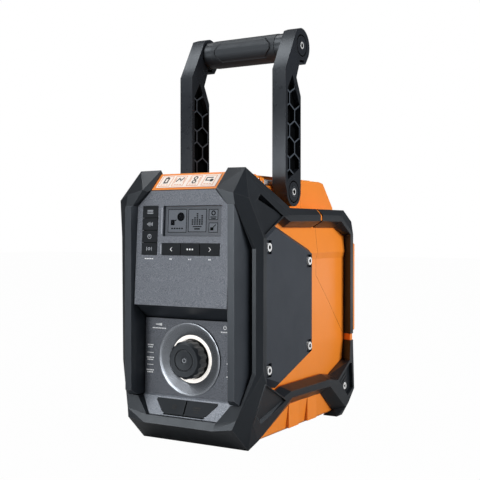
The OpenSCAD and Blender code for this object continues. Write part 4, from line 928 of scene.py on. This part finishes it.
coat(plastic("basket_black", "#1b1d20", 0.45), "speaker_baskets")
coat(plastic("cone_paper", "#2a2c2e", 0.9, pitch=0.4 * MM, bump=0.6, tone=0.2, edge=0.0), "speaker_cones")
coat(plastic("ferrite", "#3b3d40", 0.6, tone=0.2), "speaker_magnets")
coat(plastic("laminate_green", "#1f5a39", 0.4, tone=0.12, edge=0.0), "main_board", "keypad_board")
coat(plastic("laminate_black", "#0e1012", 0.5, tone=0.12, edge=0.0), "control_board")
coat(steel("encoder_steel", "#b9bcc0", 0.4), "encoder_body")

# ---- Floor, light and camera -------------------------------------------------------------------
# A pale floor and a white surround. Two broad soft lights, from the front left and from the rear right, a
# low card in front of the panel, a faint strip behind the right side, and a weak light overhead.

camera_at = (0.506823, -0.861305, 0.215866)
camera_turn = 30.8965
camera_tip = -0.62267
camera_lens = 67.46
floor_size = 12

bpy.ops.mesh.primitive_plane_add(size=floor_size, location=(0, 0, 0))
floor = bpy.context.active_object
floor.name = "floor"
paper = bpy.data.materials.new("pale_floor")
paper.use_nodes = True
tree = paper.node_tree
skin = tree.nodes["Principled BSDF"]
skin.inputs["Base Color"].default_value = (0.35, 0.35, 0.35, 1)
skin.inputs["Roughness"].default_value = 0.9
white = tree.nodes.new("ShaderNodeEmission")
white.inputs["Strength"].default_value = 1.0
path = tree.nodes.new("ShaderNodeLightPath")
seen = tree.nodes.new("ShaderNodeMath")
seen.operation = "MULTIPLY"
seen.inputs[1].default_value = 0.985
blend = tree.nodes.new("ShaderNodeMixShader")
tree.links.new(path.outputs["Is Camera Ray"], seen.inputs[0])
tree.links.new(seen.outputs["Value"], blend.inputs["Fac"])
tree.links.new(skin.outputs["BSDF"], blend.inputs[1])
tree.links.new(white.outputs["Emission"], blend.inputs[2])
tree.links.new(blend.outputs["Shader"], tree.nodes["Material Output"].inputs["Surface"])
floor.data.materials.append(paper)

world = bpy.data.worlds.new("studio")
bpy.context.scene.world = world
world.use_nodes = True
tree = world.node_tree
ambient = tree.nodes["Background"]
ambient.inputs["Color"].default_value = (0.93, 0.96, 1.0, 1)
ambient.inputs["Strength"].default_value = 0.1
surround = tree.nodes.new("ShaderNodeBackground")
surround.inputs["Color"].default_value = (1, 1, 1, 1)
surround.inputs["Strength"].default_value = 1.0
path = tree.nodes.new("ShaderNodeLightPath")
blend = tree.nodes.new("ShaderNodeMixShader")
tree.links.new(path.outputs["Is Camera Ray"], blend.inputs["Fac"])
tree.links.new(ambient.outputs["Background"], blend.inputs[1])
tree.links.new(surround.outputs["Background"], blend.inputs[2])
tree.links.new(blend.outputs["Shader"], tree.nodes["World Output"].inputs["Surface"])


def softbox(name, place, target, size, power):
    """A rectangular soft light at place that faces target."""
    lamp = bpy.data.lights.new(name, "AREA")
    lamp.shape = "RECTANGLE"
    lamp.size, lamp.size_y = size
    lamp.energy = power
    box = bpy.data.objects.new(name, lamp)
    bpy.context.scene.collection.objects.link(box)
    box.location = place
    box.rotation_euler = (Vector(target) - Vector(place)).to_track_quat("-Z", "Y").to_euler()


middle = (0, 0, 0.2)
softbox("front_card", (-0.56, -2.1, 0.36), middle, (0.95, 0.75), 19)
softbox("front_left_light", (-1.1, -1.4, 1.95), middle, (1.2, 1.0), 26)
softbox("rear_right_light", (1.95, 0.1, 1.0), middle, (1.2, 1.0), 42)
softbox("rear_card", (0.65, 1.3, 0.1), (0.08, 0.05, 0.12), (0.8, 0.16), 0.5)
softbox("top_light", (-0.6, 0.15, 1.95), middle, (0.6, 0.7), 7)

camera = bpy.data.objects.new("camera", bpy.data.cameras.new("camera"))
bpy.context.scene.collection.objects.link(camera)
camera.location = camera_at
camera.rotation_euler = (math.radians(90 + camera_tip), 0, math.radians(camera_turn))
camera.data.lens = camera_lens
camera.data.sensor_width = 36
bpy.context.scene.camera = camera
bpy.context.scene.view_settings.view_transform = "Standard"
